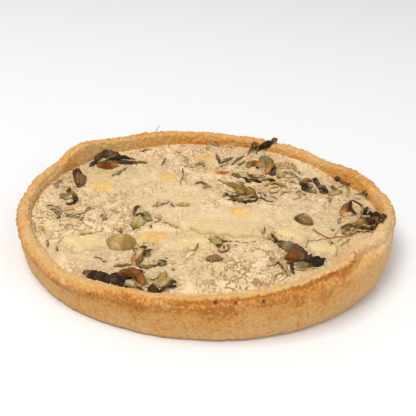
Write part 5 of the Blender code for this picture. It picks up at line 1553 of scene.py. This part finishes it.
def make_filling(settings, toppings):
    """The filling: its cracked skin over a plain body."""
    rim = Rim()
    colours = tone_colours(toppings)
    base = np.array(settings.base)
    x, y = disc_places(FILLING_ROWS)
    shore_radius, _ = rim.at(np.degrees(np.arctan2(y, x)), SHORE_ROW)
    reach = shore_radius + EDGE_OVERLAP
    x, y = x * reach, y * reach
    places = stacked(x, y, 0.0)
    bent = places + 2.2 * stacked(lumps(places, 0.12, 13), lumps(places, 0.12, 17), 0.0)
    # Pieces, leaves, shreds and mounds tint the skin, and some washes paint shade on it.
    tint = Tint(x.shape, base)
    near, climb, flush = meet_pieces(rim, places, bent, tint, colours)
    for stain_x, stain_y, stain_reach, strength, colour in stain_and_shade_marks(colours):
        tint.add(strength * round_patch(x, y, stain_x, stain_y, stain_reach), 0.75 * colour + 0.25 * base)
    # The mounds are tinted, and painted shade is laid along the foot of their front sides.
    foot_shade = mound_tint_and_foot_shade(x, y, bent, tint, colours)
    rough = np.clip(0.75 + 0.25 * lumps(places, 0.035, 7) + spread_of(ROUGH_PATCHES, x, y), 0.12, 1.6)
    rough *= 1 - 0.45 * near
    height, crack = skin_relief(places, bent, rough, settings)
    rim_gold = smooth_step((np.hypot(x, y) / reach - 0.955) / 0.04)
    gold = np.clip(spread_of(GOLDEN_PATCHES, x, y), 0, 0.6) + 0.20 * near + 0.12 * rim_gold
    # high makes raised skin lighter in the material, a painted highlight.
    values = {"high": np.clip(0.5 + height / (2.2 * settings.relief / MM), 0, 1), "crack": crack + foot_shade,
              "gold": np.clip(gold, 0, 0.75), "rough": rough, "stain": np.clip(tint.weight, 0, 0.62),
              "flush": flush}
    points, faces = closed_filling(stacked(x, y, skin_base(rim, x, y) + climb + height))
    spare = len(points) - x.size
    values = {key: np.append(value, np.zeros(spare)) for key, value in values.items()}
    values["tint"] = np.vstack([tint.mean().reshape(-1, 3), np.full((spare, 3), 0.5)])
    build = Build()
    build.add(points, faces, **values)
    build.finish("filling_baked", filling_material(settings), "filling", "filling")


# ---------------------------------------------------------------- asparagus and buds

def flesh_material(name, roughness, fibres, veil_colour, contrast=0.26):
    """Vegetable flesh: the tone painted on it, with fibres along it and soft mottling."""
    paint = Paint(name, roughness, 0.30)
    paint.shader.inputs["Subsurface Weight"].default_value = 0.15
    paint.shader.inputs["Subsurface Radius"].default_value = (0.004, 0.002, 0.001)
    paint.shader.inputs["Subsurface Scale"].default_value = 0.5
    strands = paint.cloud(1.0, 3, 0.6, place=paint.stretched(paint.vector("weave"), fibres))
    mottle = paint.cloud(0.5, 3, 0.6)
    colour = paint.vary(paint.vector("tone"), strands, 1 - 0.8 * contrast, 1 + 0.7 * contrast)
    colour = paint.vary(colour, mottle, 1 - contrast, 1 + contrast)
    flecks = paint.band(paint.cloud(0.6, 4, 0.7, 0.6), 0.55, 0.66)
    colour = paint.mix(paint.math("MULTIPLY", flecks, 1.4 * contrast - 0.3, clamp=True), colour, veil_colour)
    film = paint.band(paint.cloud(0.7, 3, 0.6), 0.40, 0.64)
    veil = paint.math("MAXIMUM", paint.value("veil"), paint.times(film, paint.value("film")))
    colour = paint.mix(veil, colour, veil_colour)
    normal = paint.bump(strands, 0.14)
    normal = paint.bump(paint.cloud(1.2, 4, 0.6), 0.16, normal)
    return paint.done(colour, normal, paint.math("MULTIPLY_ADD", mottle, 0.25, roughness - 0.06))


def long_body(piece, profile, dents, seed):
    """A body turned about its length and flattened: points, and places on it."""
    along = profile[:, :1]
    turn = np.linspace(0, 2 * math.pi, FLESH_AROUND, endpoint=False)
    wavy = 1 + 0.03 * np.cos(3 * turn + seed) + 0.025 * np.cos(5 * turn + 2 * seed)
    radius = profile[:, 1:] * wavy
    flat = piece.half_height / piece.half_width
    body = stacked(along, -radius * np.cos(turn), radius * np.sin(turn) * flat)
    outward = body * (0, 1, 1)
    outward /= np.maximum(np.linalg.norm(outward, axis=-1, keepdims=True), 1e-6)
    bumps = dents * (lumps(body, 0.16, seed) + 0.6 * lumps(body, 0.45, seed + 5))
    body = body + outward * bumps[..., None]
    body[..., 1] += 0.0048 * (along ** 2 - piece.half_length ** 2 / 3) * math.cos(seed)
    x, y = swung(body, math.radians(piece.heading))
    return stacked(piece.x + x, piece.y + y, piece.z + body[..., 2]), body


def chunk_outline(piece):
    """Along and radius of a cut spear, its ends rounded."""
    half, radius = piece.half_length, piece.half_width
    corner = min(2.6, 0.6 * radius, 0.45 * half)
    line = np.linspace(-half + corner, half - corner, 30)
    turn = np.linspace(0, math.pi / 2, 9)
    left = stacked(-half + corner - corner * np.cos(turn), radius - corner + corner * np.sin(turn))
    cap = stacked(-half + np.linspace(-0.35, 0, 6), np.linspace(0.12, radius - corner, 7)[:6])
    body = stacked(line, radius * (1 - 0.02 * np.cos(line / half * 2.2)))
    start = np.vstack([cap, left[:-1], body])
    right = left[::-1] * (-1, 1)
    end = cap[::-1] * (-1, 1)
    return np.vstack([start, right[1:], end])


def bud_outline(piece):
    """Along and radius of a bud, measured on its solid and rounded at the ends."""
    points, _ = solid_points(piece.name)
    along, across = seen_along(piece, points[:, 0], points[:, 1])
    steps = np.linspace(-1, 1, 34)
    places = np.sin(steps * math.pi / 2) * piece.half_length
    flat = piece.half_height / piece.half_width
    width = np.hypot(across, (points[:, 2] - piece.z) / flat)
    order = np.unique(np.round(along, 1))
    rings = np.array([[spot, width[np.abs(along - spot) < 0.6].max()] for spot in order])
    round_shape = piece.half_width * np.sqrt(np.maximum(1 - (places / piece.half_length) ** 2, 0))
    measured = np.minimum(np.interp(places, rings[:, 0], rings[:, 1]), piece.half_width)
    share = np.where(np.abs(places) > 0.8 * piece.half_length, 0.35, 0.85)
    radius = share * measured + (1 - share) * round_shape
    radius[0] = radius[-1] = 0.15
    return stacked(places, radius)


def painted(ground_tone, spots, along, across, colours):
    """Colour at each point: a ground tone with soft patches of others."""
    tone = np.ones(along.shape + (3,)) * colours[ground_tone]
    for name, spot_along, spot_across, reach, strength in spots:
        away = ((along - spot_along) ** 2 + (0.6 * (across - spot_across)) ** 2) / reach ** 2
        share = (strength * np.exp(-away))[..., None]
        tone = tone * (1 - share) + np.array(colours[name]) * share
    return tone


def tone_colours(settings):
    """The toppings' colours by name."""
    names = [key for key in ToppingSettings.__annotations__
             if not key.startswith("leaf_") and key not in ("fragments", "curds")]
    return {name: np.array(getattr(settings, name)) for name in names}


def make_long_pieces(settings, filling, prefix):
    """Every asparagus piece, or every bud."""
    rim = Rim()
    colours = tone_colours(settings)
    chunks = prefix == "asparagus"
    fibres, contrast = ((0.12, 0.9, 1.0), 0.40) if chunks else ((0.5, 1.2, 1.0), 0.55)
    outline_of, dents, tones = ((chunk_outline, 0.34, SPEAR_TONES) if chunks
                                else (bud_outline, 0.30, BUD_TONES))
    material = flesh_material(f"{prefix}_flesh", 0.55, fibres, filling.base, contrast)
    pieces = [piece for piece in set_pieces(rim) if piece.name.startswith(prefix)]
    for number, piece in enumerate(pieces):
        seed = 1.7 * number + 2
        outline = outline_of(piece)
        points, body = long_body(piece, outline, dents, seed)
        along = body[..., 0] / piece.half_length
        across = body[..., 1] / piece.half_width
        tone_name, bare, spots = tones[piece.name]
        wander = 0.30 * lumps(points, 0.16, seed)
        tone = painted(tone_name, spots, along + wander, across + wander, colours)
        over = points[..., 2] - skin_base(rim, points[..., 0], points[..., 1])
        over += 0.45 * lumps(points, 0.3, seed + 4)
        veil = 1 - smooth_step(over / 1.2 if chunks else (over + 0.2) / 0.7)
        veil *= 1.0 - 0.6 * bare
        film = (0.85 - 0.75 * bare) * (1 - smooth_step((over - 0.8) / 2.0))
        if chunks and bare < CRISP:
            lens = lens_reach(piece, body[..., 0], body[..., 1], points)
            veil = np.maximum(veil, smooth_step((lens - 0.72) / LENS_EDGE))
        if not chunks:
            # Dark round the outline, with painted shade low down where it goes into the custard and painted
            # light on top.
            dark = BUD_OUTLINES[piece.name] * smooth_step((np.hypot(along, across) - 0.62) / 0.30)
            painted_light_on_top = smooth_step((over - custard_rise(piece) + 0.2) / 1.1)
            tone = tone * ((1.12 - dark) * (0.65 + 0.35 * painted_light_on_top))[..., None]
            film = 0.12 * film
        turn = np.linspace(0, 2 * math.pi, FLESH_AROUND, endpoint=False)
        weave = stacked(body[..., 0] + 7 * number, piece.half_width * turn, 0.0)
        build = Build()
        build.add(points, tube_faces(len(outline), FLESH_AROUND, flip_ends=True), tone=tone,
                  veil=0.9 * veil, film=film, weave=weave)
        build.finish(f"{piece.name}_baked", material, prefix, piece.name)


# ---------------------------------------------------------------- leaves and shreds

class Ground:
    """The finished surfaces, how high they reach, and what is seen on them."""

    def __init__(self):
        names = sorted(made.name for made in bpy.data.objects if made.name.endswith("_baked")
                       and made.name.startswith(("crust", "filling", "asparagus", "bud")))
        points, faces = [], []
        for name in names:
            mesh = bpy.data.objects[name].data
            places = np.empty(len(mesh.vertices) * 3)
            mesh.vertices.foreach_get("co", places)
            faces += [tuple(v + len(points) for v in face.vertices) for face in mesh.polygons]
            points += places.reshape(-1, 3).tolist()
        self.tree = BVHTree.FromPolygons(points, faces)
        self.sight = Sight()

    def height(self, x, y):
        """Highest surface at each place, in millimetres."""
        found = np.zeros(np.size(x))
        for number, (px, py) in enumerate(zip(np.ravel(x).tolist(), np.ravel(y).tolist())):
            hit = self.tree.ray_cast(Vector((px * MM, py * MM, RAY_TOP)), Vector((0, 0, -1)))[0]
            found[number] = 0.0 if hit is None else hit.z / MM
        return found.reshape(np.shape(x))

    def seen(self, column, row, lift):
        """x and y where a pixel's line of sight is lift above the surface, in millimetres."""
        ahead = self.sight.ahead(column, row)
        place = self.tree.ray_cast(self.sight.start, ahead)[0]
        if place is None:
            place = self.closest(ahead)
        step = ahead * (SIGHT_STEP * MM)
        while place.z / MM - float(self.height(place.x / MM, place.y / MM)) < lift:
            place = place - step
        return place.x / MM, place.y / MM

    def closest(self, ahead):
        """Where a line of sight that passes over the crust comes nearest to it."""
        reach = -self.sight.start.z / ahead.z
        places = [self.sight.start + ahead * (reach * share) for share in np.linspace(0.6, 1.0, 400)]
        floors = [float(self.height(place.x / MM, place.y / MM)) for place in places]
        gaps = [(place.z / MM - floor, number) for number, (place, floor) in enumerate(zip(places, floors))
                if floor > FLOOR_THICKNESS]
        if not gaps:
            raise ValueError("a mark lies off the quiche")
        return places[min(gaps)[1]]


def leaf_material(name, gloss, roughness, film=0.0):
    """Wilted leaf: the tone painted on it, with veins, mottling, painted warm highlights, film
    and darker edges.
    """
    highlight_colour = (0.34, 0.20, 0.065)
    paint = Paint(name, roughness, gloss)
    paint.shader.inputs["Specular Tint"].default_value = (1.0, 0.86, 0.66, 1.0)
    grid = paint.stretched(paint.vector("weave"), (0.10, 0.9, 1.0))
    veins = paint.cloud(1.0, 3, 0.6, 0.4, place=grid)
    mottle = paint.cloud(0.40, 4, 0.65)
    colour = paint.vary(paint.vector("tone"), veins, 0.35, 1.60)
    colour = paint.vary(colour, mottle, 0.35, 1.65)
    # Painted highlights: warm patches here and there.
    painted_highlight = paint.band(paint.cloud(0.33, 3, 0.6, 0.5), 0.52, 0.68)
    colour = paint.mix(paint.times(painted_highlight, 0.48), colour, paint.mix(0.5, colour, highlight_colour))
    colour = paint.vary(colour, paint.value("edge"), 1.08, 0.55)
    coated = paint.band(paint.cloud(0.5, 3, 0.6), 0.45, 0.62)
    colour = paint.mix(paint.times(coated, film), colour, bpy.context.scene.quiche.filling.base)
    normal = paint.bump(paint.cloud(1.1, 4, 0.65), 0.30, paint.bump(veins, 0.55))
    return paint.done(colour, normal, paint.math("MULTIPLY_ADD", mottle, 0.3, roughness - 0.15))


def smooth_line(knots, step):
    """Knots read along a smooth curve, about one step apart; only x, y and z set the spacing."""
    knots = np.asarray(knots, float)
    lengths = np.linalg.norm(np.diff(knots[:, :3], axis=0), axis=1)
    places = [index + np.arange(count) / count
              for index, count in enumerate(np.maximum(2, np.round(lengths / step)).astype(int))]
    return read_between(knots, np.append(np.concatenate(places), len(knots) - 1))


def buried(points, bury):
    """How deep a sheet is sunk at each place: here and there the custard rises over it."""
    return bury * smooth_step(lumps(points * (1, 1, 0), 0.35, 19) * 2 - 0.5)


def sheet_axes(spine, lift, roll):
    """Unit vectors across a sheet and up from it, rolled where it stands free."""
    ahead = np.gradient(spine, axis=0)
    level = ahead * (1, 1, 0)
    level /= np.maximum(np.linalg.norm(level, axis=1, keepdims=True), 1e-6)
    side = stacked(-level[:, 1], level[:, 0], 0.0)
    ahead /= np.linalg.norm(ahead, axis=1, keepdims=True)
    up = np.cross(ahead, side)
    turn = math.radians(roll) * np.clip(lift / 1.5, 0, 1)[:, None]
    return side * np.cos(turn) + up * np.sin(turn), up * np.cos(turn) - side * np.sin(turn)


def sheet_faces(rows, columns):
    """Faces of a thin sheet: its top, its underside and the strip that joins them."""
    count = rows * columns
    face = grid_faces(rows, columns)
    ring = grid_border(rows, columns)
    strip = [(a + count, b + count, b, a) for a, b in zip(ring, ring[1:] + ring[:1])]
    return face[:, ::-1].tolist() + (face + count).tolist() + strip


def sheet_into(build, knots, torn, roll, ground, settings, salt, bury=0.45):
    """Add one thin sheet, curled, torn and rippled, that rests on what is below it.

    A knot is x, y, height over what lies below, half width, and the tone's three numbers.
    """
    line = smooth_line(knots, SHEET_STEP)
    x, y, lift, half = line[:, :4].T
    rows = len(line)
    columns = max(4, min(settings.leaf_columns, int(np.max(half) * 4))) + 1
    share = np.linspace(0, 1, rows)
    floor = np.pad(ground.height(x, y), 2, mode="edge")
    floor = np.convolve(floor, np.ones(5) / 5, mode="valid")
    spine = stacked(x, y, floor + np.maximum(lift, 0) - buried(line[:, :3], bury))
    side, up = sheet_axes(spine, lift, roll)
    half = half * (0.35 + 0.65 * np.minimum(1, np.sin(math.pi * np.clip(share, 0.02, 0.98)) * 1.9))
    half = half[:, None]
    across = np.linspace(-1, 1, columns)
    length = (share * np.linalg.norm(np.diff(spine, axis=0), axis=1).sum())[:, None]
    # Noise for each edge, and for the sheet as flat cloth.
    edges = stacked(length, np.sign(across) * 9.0, salt * 3.1)
    cloth = stacked(length, across * half, salt * 3.1)
    ragged = 1 + torn * (lumps(edges, 0.28, salt) + 0.6 * lumps(edges, 0.75, salt + 3))
    free = np.minimum(1, half / 2)
    ripple = free * (0.65 * lumps(cloth, 0.16, salt + 7) + 0.32 * lumps(cloth, 0.45, salt + 9))
    frill = free * 0.35 * np.abs(across) ** 3 * lumps(edges, 0.22, salt + 13)
    reach = half * across * np.clip(ragged, 0.2, 1.8)
    drop = 0.45 * half * across ** 2 - ripple - frill
    middle = spine[:, None] + side[:, None] * reach[..., None] - up[:, None] * drop[..., None]
    thick = settings.leaf_thickness / MM * (1 - 0.5 * np.abs(across) ** 3)
    # A sheet beside the wall leans on it and doesn't climb it.
    under = np.minimum(ground.height(middle[..., 0], middle[..., 1]), spine[:, None, 2] + 1.2)
    lower = middle - up[:, None] * (thick / 2)[:, None]
    lower[..., 2] = np.maximum(lower[..., 2], under + 0.08 - buried(middle, bury))
    upper = lower + up[:, None] * thick[:, None]
    upper[..., 2] = np.maximum(upper[..., 2], lower[..., 2] + 0.2 * np.abs(up[:, None, 2]) * thick)
    tone = np.broadcast_to(np.clip(line[:, None, 4:7], 0.002, 1), upper.shape)
    edge = np.broadcast_to(np.abs(across) ** 4, reach.shape)
    weave = stacked(length, reach, salt * 3.1)
    # The underside takes a darker copy of the tone, painted shade under the sheet.
    build.add(np.stack([upper, lower]), sheet_faces(rows, columns), tone=np.stack([tone, 0.75 * tone]),
              edge=np.stack([edge, edge]), weave=np.stack([weave, weave]))


def marked_knots(marks, ground, colours):
    """A sheet's knots in millimetres, from its marks in the picture."""
    return [(*ground.seen(mark.column, mark.row, mark.lift), mark.lift, mark.half_width,
             *colours[TONES[mark.tone].name]) for mark in marks]


def make_leaves(settings):
    """Every leaf, each from its sheets."""
    ground = Ground()
    colours = tone_colours(settings)
    glossy = leaf_material("leaf_glossy", 0.28, 0.42)
    matte = leaf_material("leaf_matte", 0.14, 0.60)
    for number, leaf in enumerate(LEAVES):
        build = Build()
        for part, sheet in enumerate(leaf.sheets):
            knots = marked_knots([Mark(*mark) for mark in sheet.marks], ground, colours)
            salt = LEAF_SALT + 7 * number + part
            sheet_into(build, knots, sheet.torn, sheet.roll, ground, settings, salt)
        material = glossy if leaf.slot == "leaf_rust" else matte
        build.finish(f"{leaf.node}_baked", material, leaf.slot, leaf.node)


def builds_by_slot():
    """An empty build for each of the leaves' slots."""
    return {slot: Build() for slot in sorted({tone.slot for tone in TONES.values()})}


def finish_by_slot(builds, prefix):
    """Make one joined piece of film-covered leaf for each slot that has anything in it."""
    material = leaf_material(f"{prefix}_skin", 0.14, 0.6, 0.55)
    for slot, build in builds.items():
        if build.count:
            build.finish(f"{prefix}s_{slot}", material, slot)


def make_shreds(settings):
    """Thin shreds on the skin, joined into one piece for each slot."""
    ground = Ground()
    colours = tone_colours(settings)
    builds = builds_by_slot()
    for number, shred in enumerate(SHREDS):
        marks = [Mark(*mark, shred.half_width, shred.tone) for mark in shred.marks]
        bury = 0.75 if shred.half_width < 1.2 else 0.5
        sheet_into(builds[TONES[shred.tone].slot], marked_knots(marks, ground, colours), 0.5, 0, ground,
                   settings, SHRED_SALT + 11 * number, bury)
    finish_by_slot(builds, "shred")


def near_marks(rng, count, spread):
    """Random places close to the leaves: x, y and the letter of the nearest mark's tone."""
    sight = Sight()
    rim = Rim()
    marks = leaf_marks([leaf for leaf in LEAVES if leaf.node not in ("leaf_over_rim", "leaf_wall_right")])
    places = []
    while len(places) < count:
        mark = rng.choice(marks)
        x, y = sight.at_level(mark.column, mark.row, FILLING_LEVEL)
        x += rng.gauss(0, spread)
        y += rng.gauss(0, spread)
        shore_radius, _ = rim.at(math.degrees(math.atan2(y, x)), SHORE_ROW)
        if math.hypot(x, y) < float(shore_radius) - SHORE_GAP:
            places.append((x, y, mark.tone))
    return places


def make_fragments(settings):
    """Small torn bits that lie half sunk round the leaves, joined by slot."""
    ground = Ground()
    colours = tone_colours(settings)
    rng = random.Random(FRAGMENT_DRAW)
    builds = builds_by_slot()
    for number, (x, y, near) in enumerate(near_marks(rng, settings.fragments, FRAGMENT_SPREAD)):
        letter = near if rng.random() < 0.25 else rng.choice("omgtamymoaub")
        tone = (1 - FRAGMENT_CREAM) * colours[TONES[letter].name] + FRAGMENT_CREAM * colours["cream"]
        length = rng.uniform(1.0, 3.8)
        half = rng.uniform(0.22, 0.65)
        heading = rng.uniform(0, 2 * math.pi)
        knots = []
        for step in (-0.5, 0.0, 0.5):
            heading += rng.gauss(0, 0.5)
            lift = 0.1 if step else rng.uniform(0.15, 0.6)
            knots.append((x + step * length * math.cos(heading), y + step * length * math.sin(heading),
                          lift, half * (0.6 if step else 1), *tone))
        salt = FRAGMENT_SALT + 3 * number
        sheet_into(builds[TONES[letter].slot], knots, 0.5, 0, ground, settings, salt, 0.6)
    finish_by_slot(builds, "fragment")


def make_curds(settings, filling):
    """Small crumbs of custard that cling round the leaves, joined."""
    ground = Ground()
    rim = Rim()
    rng = random.Random(CRUMB_DRAW)
    paint = Paint("custard_crumb", 0.6, 0.25)
    fine = paint.cloud(0.9, 3, 0.6)
    material = paint.done(paint.mix(fine, filling.base, filling.light), paint.bump(fine, 0.2))
    rows, around = CRUMB_GRID
    turn = np.linspace(0, 2 * math.pi, around, endpoint=False)
    rise = np.linspace(-math.pi / 2 + 0.15, math.pi / 2 - 0.15, rows)[:, None]
    ball = stacked(np.cos(rise) * np.cos(turn), np.cos(rise) * np.sin(turn), np.sin(rise))
    build = Build()
    for number, (x, y, _) in enumerate(near_marks(rng, settings.curds, CRUMB_SPREAD)):
        size = np.array((rng.uniform(0.5, 1.7), rng.uniform(0.4, 1.1), rng.uniform(0.35, 0.8)))
        heading = rng.uniform(0, math.pi)
        body = ball * size
        body = body * (1 + 0.30 * lumps(body, 0.8, number))[..., None]
        level = float(ground.height(x, y)) + 0.15 * size[2]
        if level - float(skin_base(rim, x, y)) > CRUMB_REACH:
            continue
        across, ahead = swung(body, heading)
        build.add(stacked(x + across, y + ahead, level + body[..., 2]), tube_faces(rows, around))
    if build.count:
        build.finish("curds", material, "filling")


# ---------------------------------------------------------------- stalks

def make_stalk(stalk, knots, number, ground, tone, material):
    """One thin tapering stalk along its knots, which have x, y and height over what lies below."""
    spine = smooth_line(knots, STALK_STEP)
    spine[:, 2] += ground.height(spine[:, 0], spine[:, 1])
    rows = len(spine)
    share = np.linspace(0, 1, rows)
    ends = np.minimum(1, 0.3 + 12 * share) * np.minimum(1, 0.3 + 8 * (1 - share))
    radius = stalk.thickness / 2 * (1 - 0.45 * share) * ends
    spine += (0, 0, 1) * (0.4 * radius)[:, None]
    spine += 0.15 * stacked(lumps(spine, 0.3, number), lumps(spine, 0.3, number + 9), 0.0)
    ahead = np.gradient(spine, axis=0)
    ahead /= np.linalg.norm(ahead, axis=1, keepdims=True)
    side = np.cross(ahead, (0.1, 0.2, 1.0))
    side /= np.linalg.norm(side, axis=1, keepdims=True)
    up = np.cross(side, ahead)
    turn = np.linspace(0, 2 * math.pi, STALK_AROUND, endpoint=False)
    ring = side[:, None] * np.cos(turn)[:, None] + up[:, None] * np.sin(turn)[:, None]
    points = spine[:, None] + ring * radius[:, None, None]
    none = np.zeros(points.shape[:2])
    weave = stacked(share[:, None] * 9, turn * stalk.thickness, float(number))
    build = Build()
    build.add(points, tube_faces(rows, STALK_AROUND), tone=np.ones(points.shape) * tone, veil=none,
              film=none, weave=weave)
    nodes = [stalk.name] if stalk.name in frame["nodes"] else []
    build.finish(f"{stalk.name}_baked", material, "stalk", *nodes)


def make_stalks(settings):
    """Thin bent stalks and red-brown ticks."""
    ground = Ground()
    colours = tone_colours(settings)
    material = flesh_material("stalk_skin", 0.5, (0.2, 1.5, 1.0), settings.stalk)
    for number, stalk in enumerate((*STALKS, BACK_STALK)):
        knots = stalk.marks
        if stalk is not BACK_STALK:
            knots = [(*ground.seen(*mark), mark[2]) for mark in knots]
        make_stalk(stalk, knots, number, ground, colours[stalk.tone], material)


# ---------------------------------------------------------------- stage

def make_camera(settings):
    """The camera, at the angle from which the quiche is seen."""
    lens = bpy.data.cameras.new("camera")
    lens.lens = settings.lens
    lens.sensor_width = SENSOR
    lens.clip_start = 0.01
    lens.clip_end = 50.0
    camera = bpy.data.objects.new("camera", lens)
    bpy.context.scene.collection.objects.link(camera)
    camera.matrix_world = Sight().turned()
    bpy.context.scene.camera = camera


def add_softbox(name, place, size, power):
    """A square area light that faces the quiche."""
    lamp = bpy.data.lights.new(name, "AREA")
    lamp.shape = "SQUARE"
    lamp.size = size
    lamp.energy = power
    made = bpy.data.objects.new(name, lamp)
    made.location = place
    made.rotation_mode = "QUATERNION"
    made.rotation_quaternion = (-Vector(place)).to_track_quat("-Z", "Y")
    bpy.context.scene.collection.objects.link(made)


def make_stage(settings):
    """A pale floor, an even sky, two softboxes and the camera."""
    scene = bpy.context.scene
    scene.view_settings.view_transform = "Standard"
    mesh = bpy.data.meshes.new("floor")
    half = FLOOR_SIDE / 2
    corners = [(-half, -half, 0), (half, -half, 0), (half, half, 0), (-half, half, 0)]
    mesh.from_pydata(corners, [], [(0, 1, 2, 3)])
    paint = Paint("floor", 0.6, 0.2)
    mesh.materials.append(paint.done(paint.vary(settings.floor, paint.cloud(0.01, 2), 0.99, 1.01)))
    floor = bpy.data.objects.new("floor", mesh)
    scene.collection.objects.link(floor)
    world = bpy.data.worlds.new("studio")
    world.use_nodes = True
    shade = world.node_tree.nodes["Background"]
    shade.inputs["Color"].default_value = (1.0, 1.0, 1.0, 1.0)
    shade.inputs["Strength"].default_value = settings.sky
    scene.world = world
    for softbox in SOFTBOXES:
        add_softbox(softbox.name, softbox.place, softbox.size, softbox.share * settings.key)
    make_camera(settings)


# ---------------------------------------------------------------- add-on

class QUICHE_OT_stage(bpy.types.Operator):
    """Add the floor, the lights and the camera"""
    bl_idname = "quiche.stage"
    bl_label = "Stage"

    def execute(self, context):
        make_stage(context.scene.quiche.stage)
        return {"FINISHED"}


class QUICHE_OT_crust(bpy.types.Operator):
    """Bake the crust"""
    bl_idname = "quiche.crust"
    bl_label = "Crust"

    def execute(self, context):
        make_crust(context.scene.quiche.crust)
        return {"FINISHED"}


class QUICHE_OT_filling(bpy.types.Operator):
    """Set the filling"""
    bl_idname = "quiche.filling"
    bl_label = "Filling"

    def execute(self, context):
        make_filling(context.scene.quiche.filling, context.scene.quiche.toppings)
        return {"FINISHED"}


class QUICHE_OT_asparagus(bpy.types.Operator):
    """Lay the asparagus pieces"""
    bl_idname = "quiche.asparagus"
    bl_label = "Asparagus"

    def execute(self, context):
        make_long_pieces(context.scene.quiche.toppings, context.scene.quiche.filling, "asparagus")
        return {"FINISHED"}


class QUICHE_OT_buds(bpy.types.Operator):
    """Lay the buds"""
    bl_idname = "quiche.buds"
    bl_label = "Buds"

    def execute(self, context):
        make_long_pieces(context.scene.quiche.toppings, context.scene.quiche.filling, "bud")
        return {"FINISHED"}


class QUICHE_OT_leaves(bpy.types.Operator):
    """Lay the leaves"""
    bl_idname = "quiche.leaves"
    bl_label = "Leaves"

    def execute(self, context):
        make_leaves(context.scene.quiche.toppings)
        return {"FINISHED"}


class QUICHE_OT_shreds(bpy.types.Operator):
    """Lay the shreds"""
    bl_idname = "quiche.shreds"
    bl_label = "Shreds"

    def execute(self, context):
        make_shreds(context.scene.quiche.toppings)
        return {"FINISHED"}


class QUICHE_OT_fragments(bpy.types.Operator):
    """Scatter small torn bits round the leaves"""
    bl_idname = "quiche.fragments"
    bl_label = "Fragments"

    def execute(self, context):
        make_fragments(context.scene.quiche.toppings)
        return {"FINISHED"}


class QUICHE_OT_curds(bpy.types.Operator):
    """Scatter crumbs of custard round the leaves"""
    bl_idname = "quiche.curds"
    bl_label = "Curds"

    def execute(self, context):
        make_curds(context.scene.quiche.toppings, context.scene.quiche.filling)
        return {"FINISHED"}


class QUICHE_OT_stalks(bpy.types.Operator):
    """Lay the stalks"""
    bl_idname = "quiche.stalks"
    bl_label = "Stalks"

    def execute(self, context):
        make_stalks(context.scene.quiche.toppings)
        return {"FINISHED"}


STEPS = (QUICHE_OT_stage, QUICHE_OT_crust, QUICHE_OT_filling, QUICHE_OT_asparagus, QUICHE_OT_buds,
         QUICHE_OT_leaves, QUICHE_OT_shreds, QUICHE_OT_fragments, QUICHE_OT_curds, QUICHE_OT_stalks)


class QUICHE_PT_panel(bpy.types.Panel):
    """Lists the steps of the quiche in the sidebar"""
    bl_idname = "QUICHE_PT_panel"
    bl_label = "Quiche"
    bl_space_type = "VIEW_3D"
    bl_region_type = "UI"
    bl_category = "Quiche"

    def draw(self, context):
        for step in STEPS:
            self.layout.operator(step.bl_idname)


CLASSES = (CrustSettings, FillingSettings, ToppingSettings, StageSettings, QuicheSettings,
           *STEPS, QUICHE_PT_panel)


def register():
    """Add the classes and the scene's settings."""
    for item in CLASSES:
        bpy.utils.register_class(item)
    bpy.types.Scene.quiche = PointerProperty(type=QuicheSettings)


def unregister():
    """Remove the classes and the scene's settings."""
    del bpy.types.Scene.quiche
    for item in reversed(CLASSES):
        bpy.utils.unregister_class(item)


def main():
    """Make every piece in order."""
    register()
    for step in STEPS:
        group, name = step.bl_idname.split(".")
        getattr(getattr(bpy.ops, group), name)()


if __name__ == "__main__":
    main()
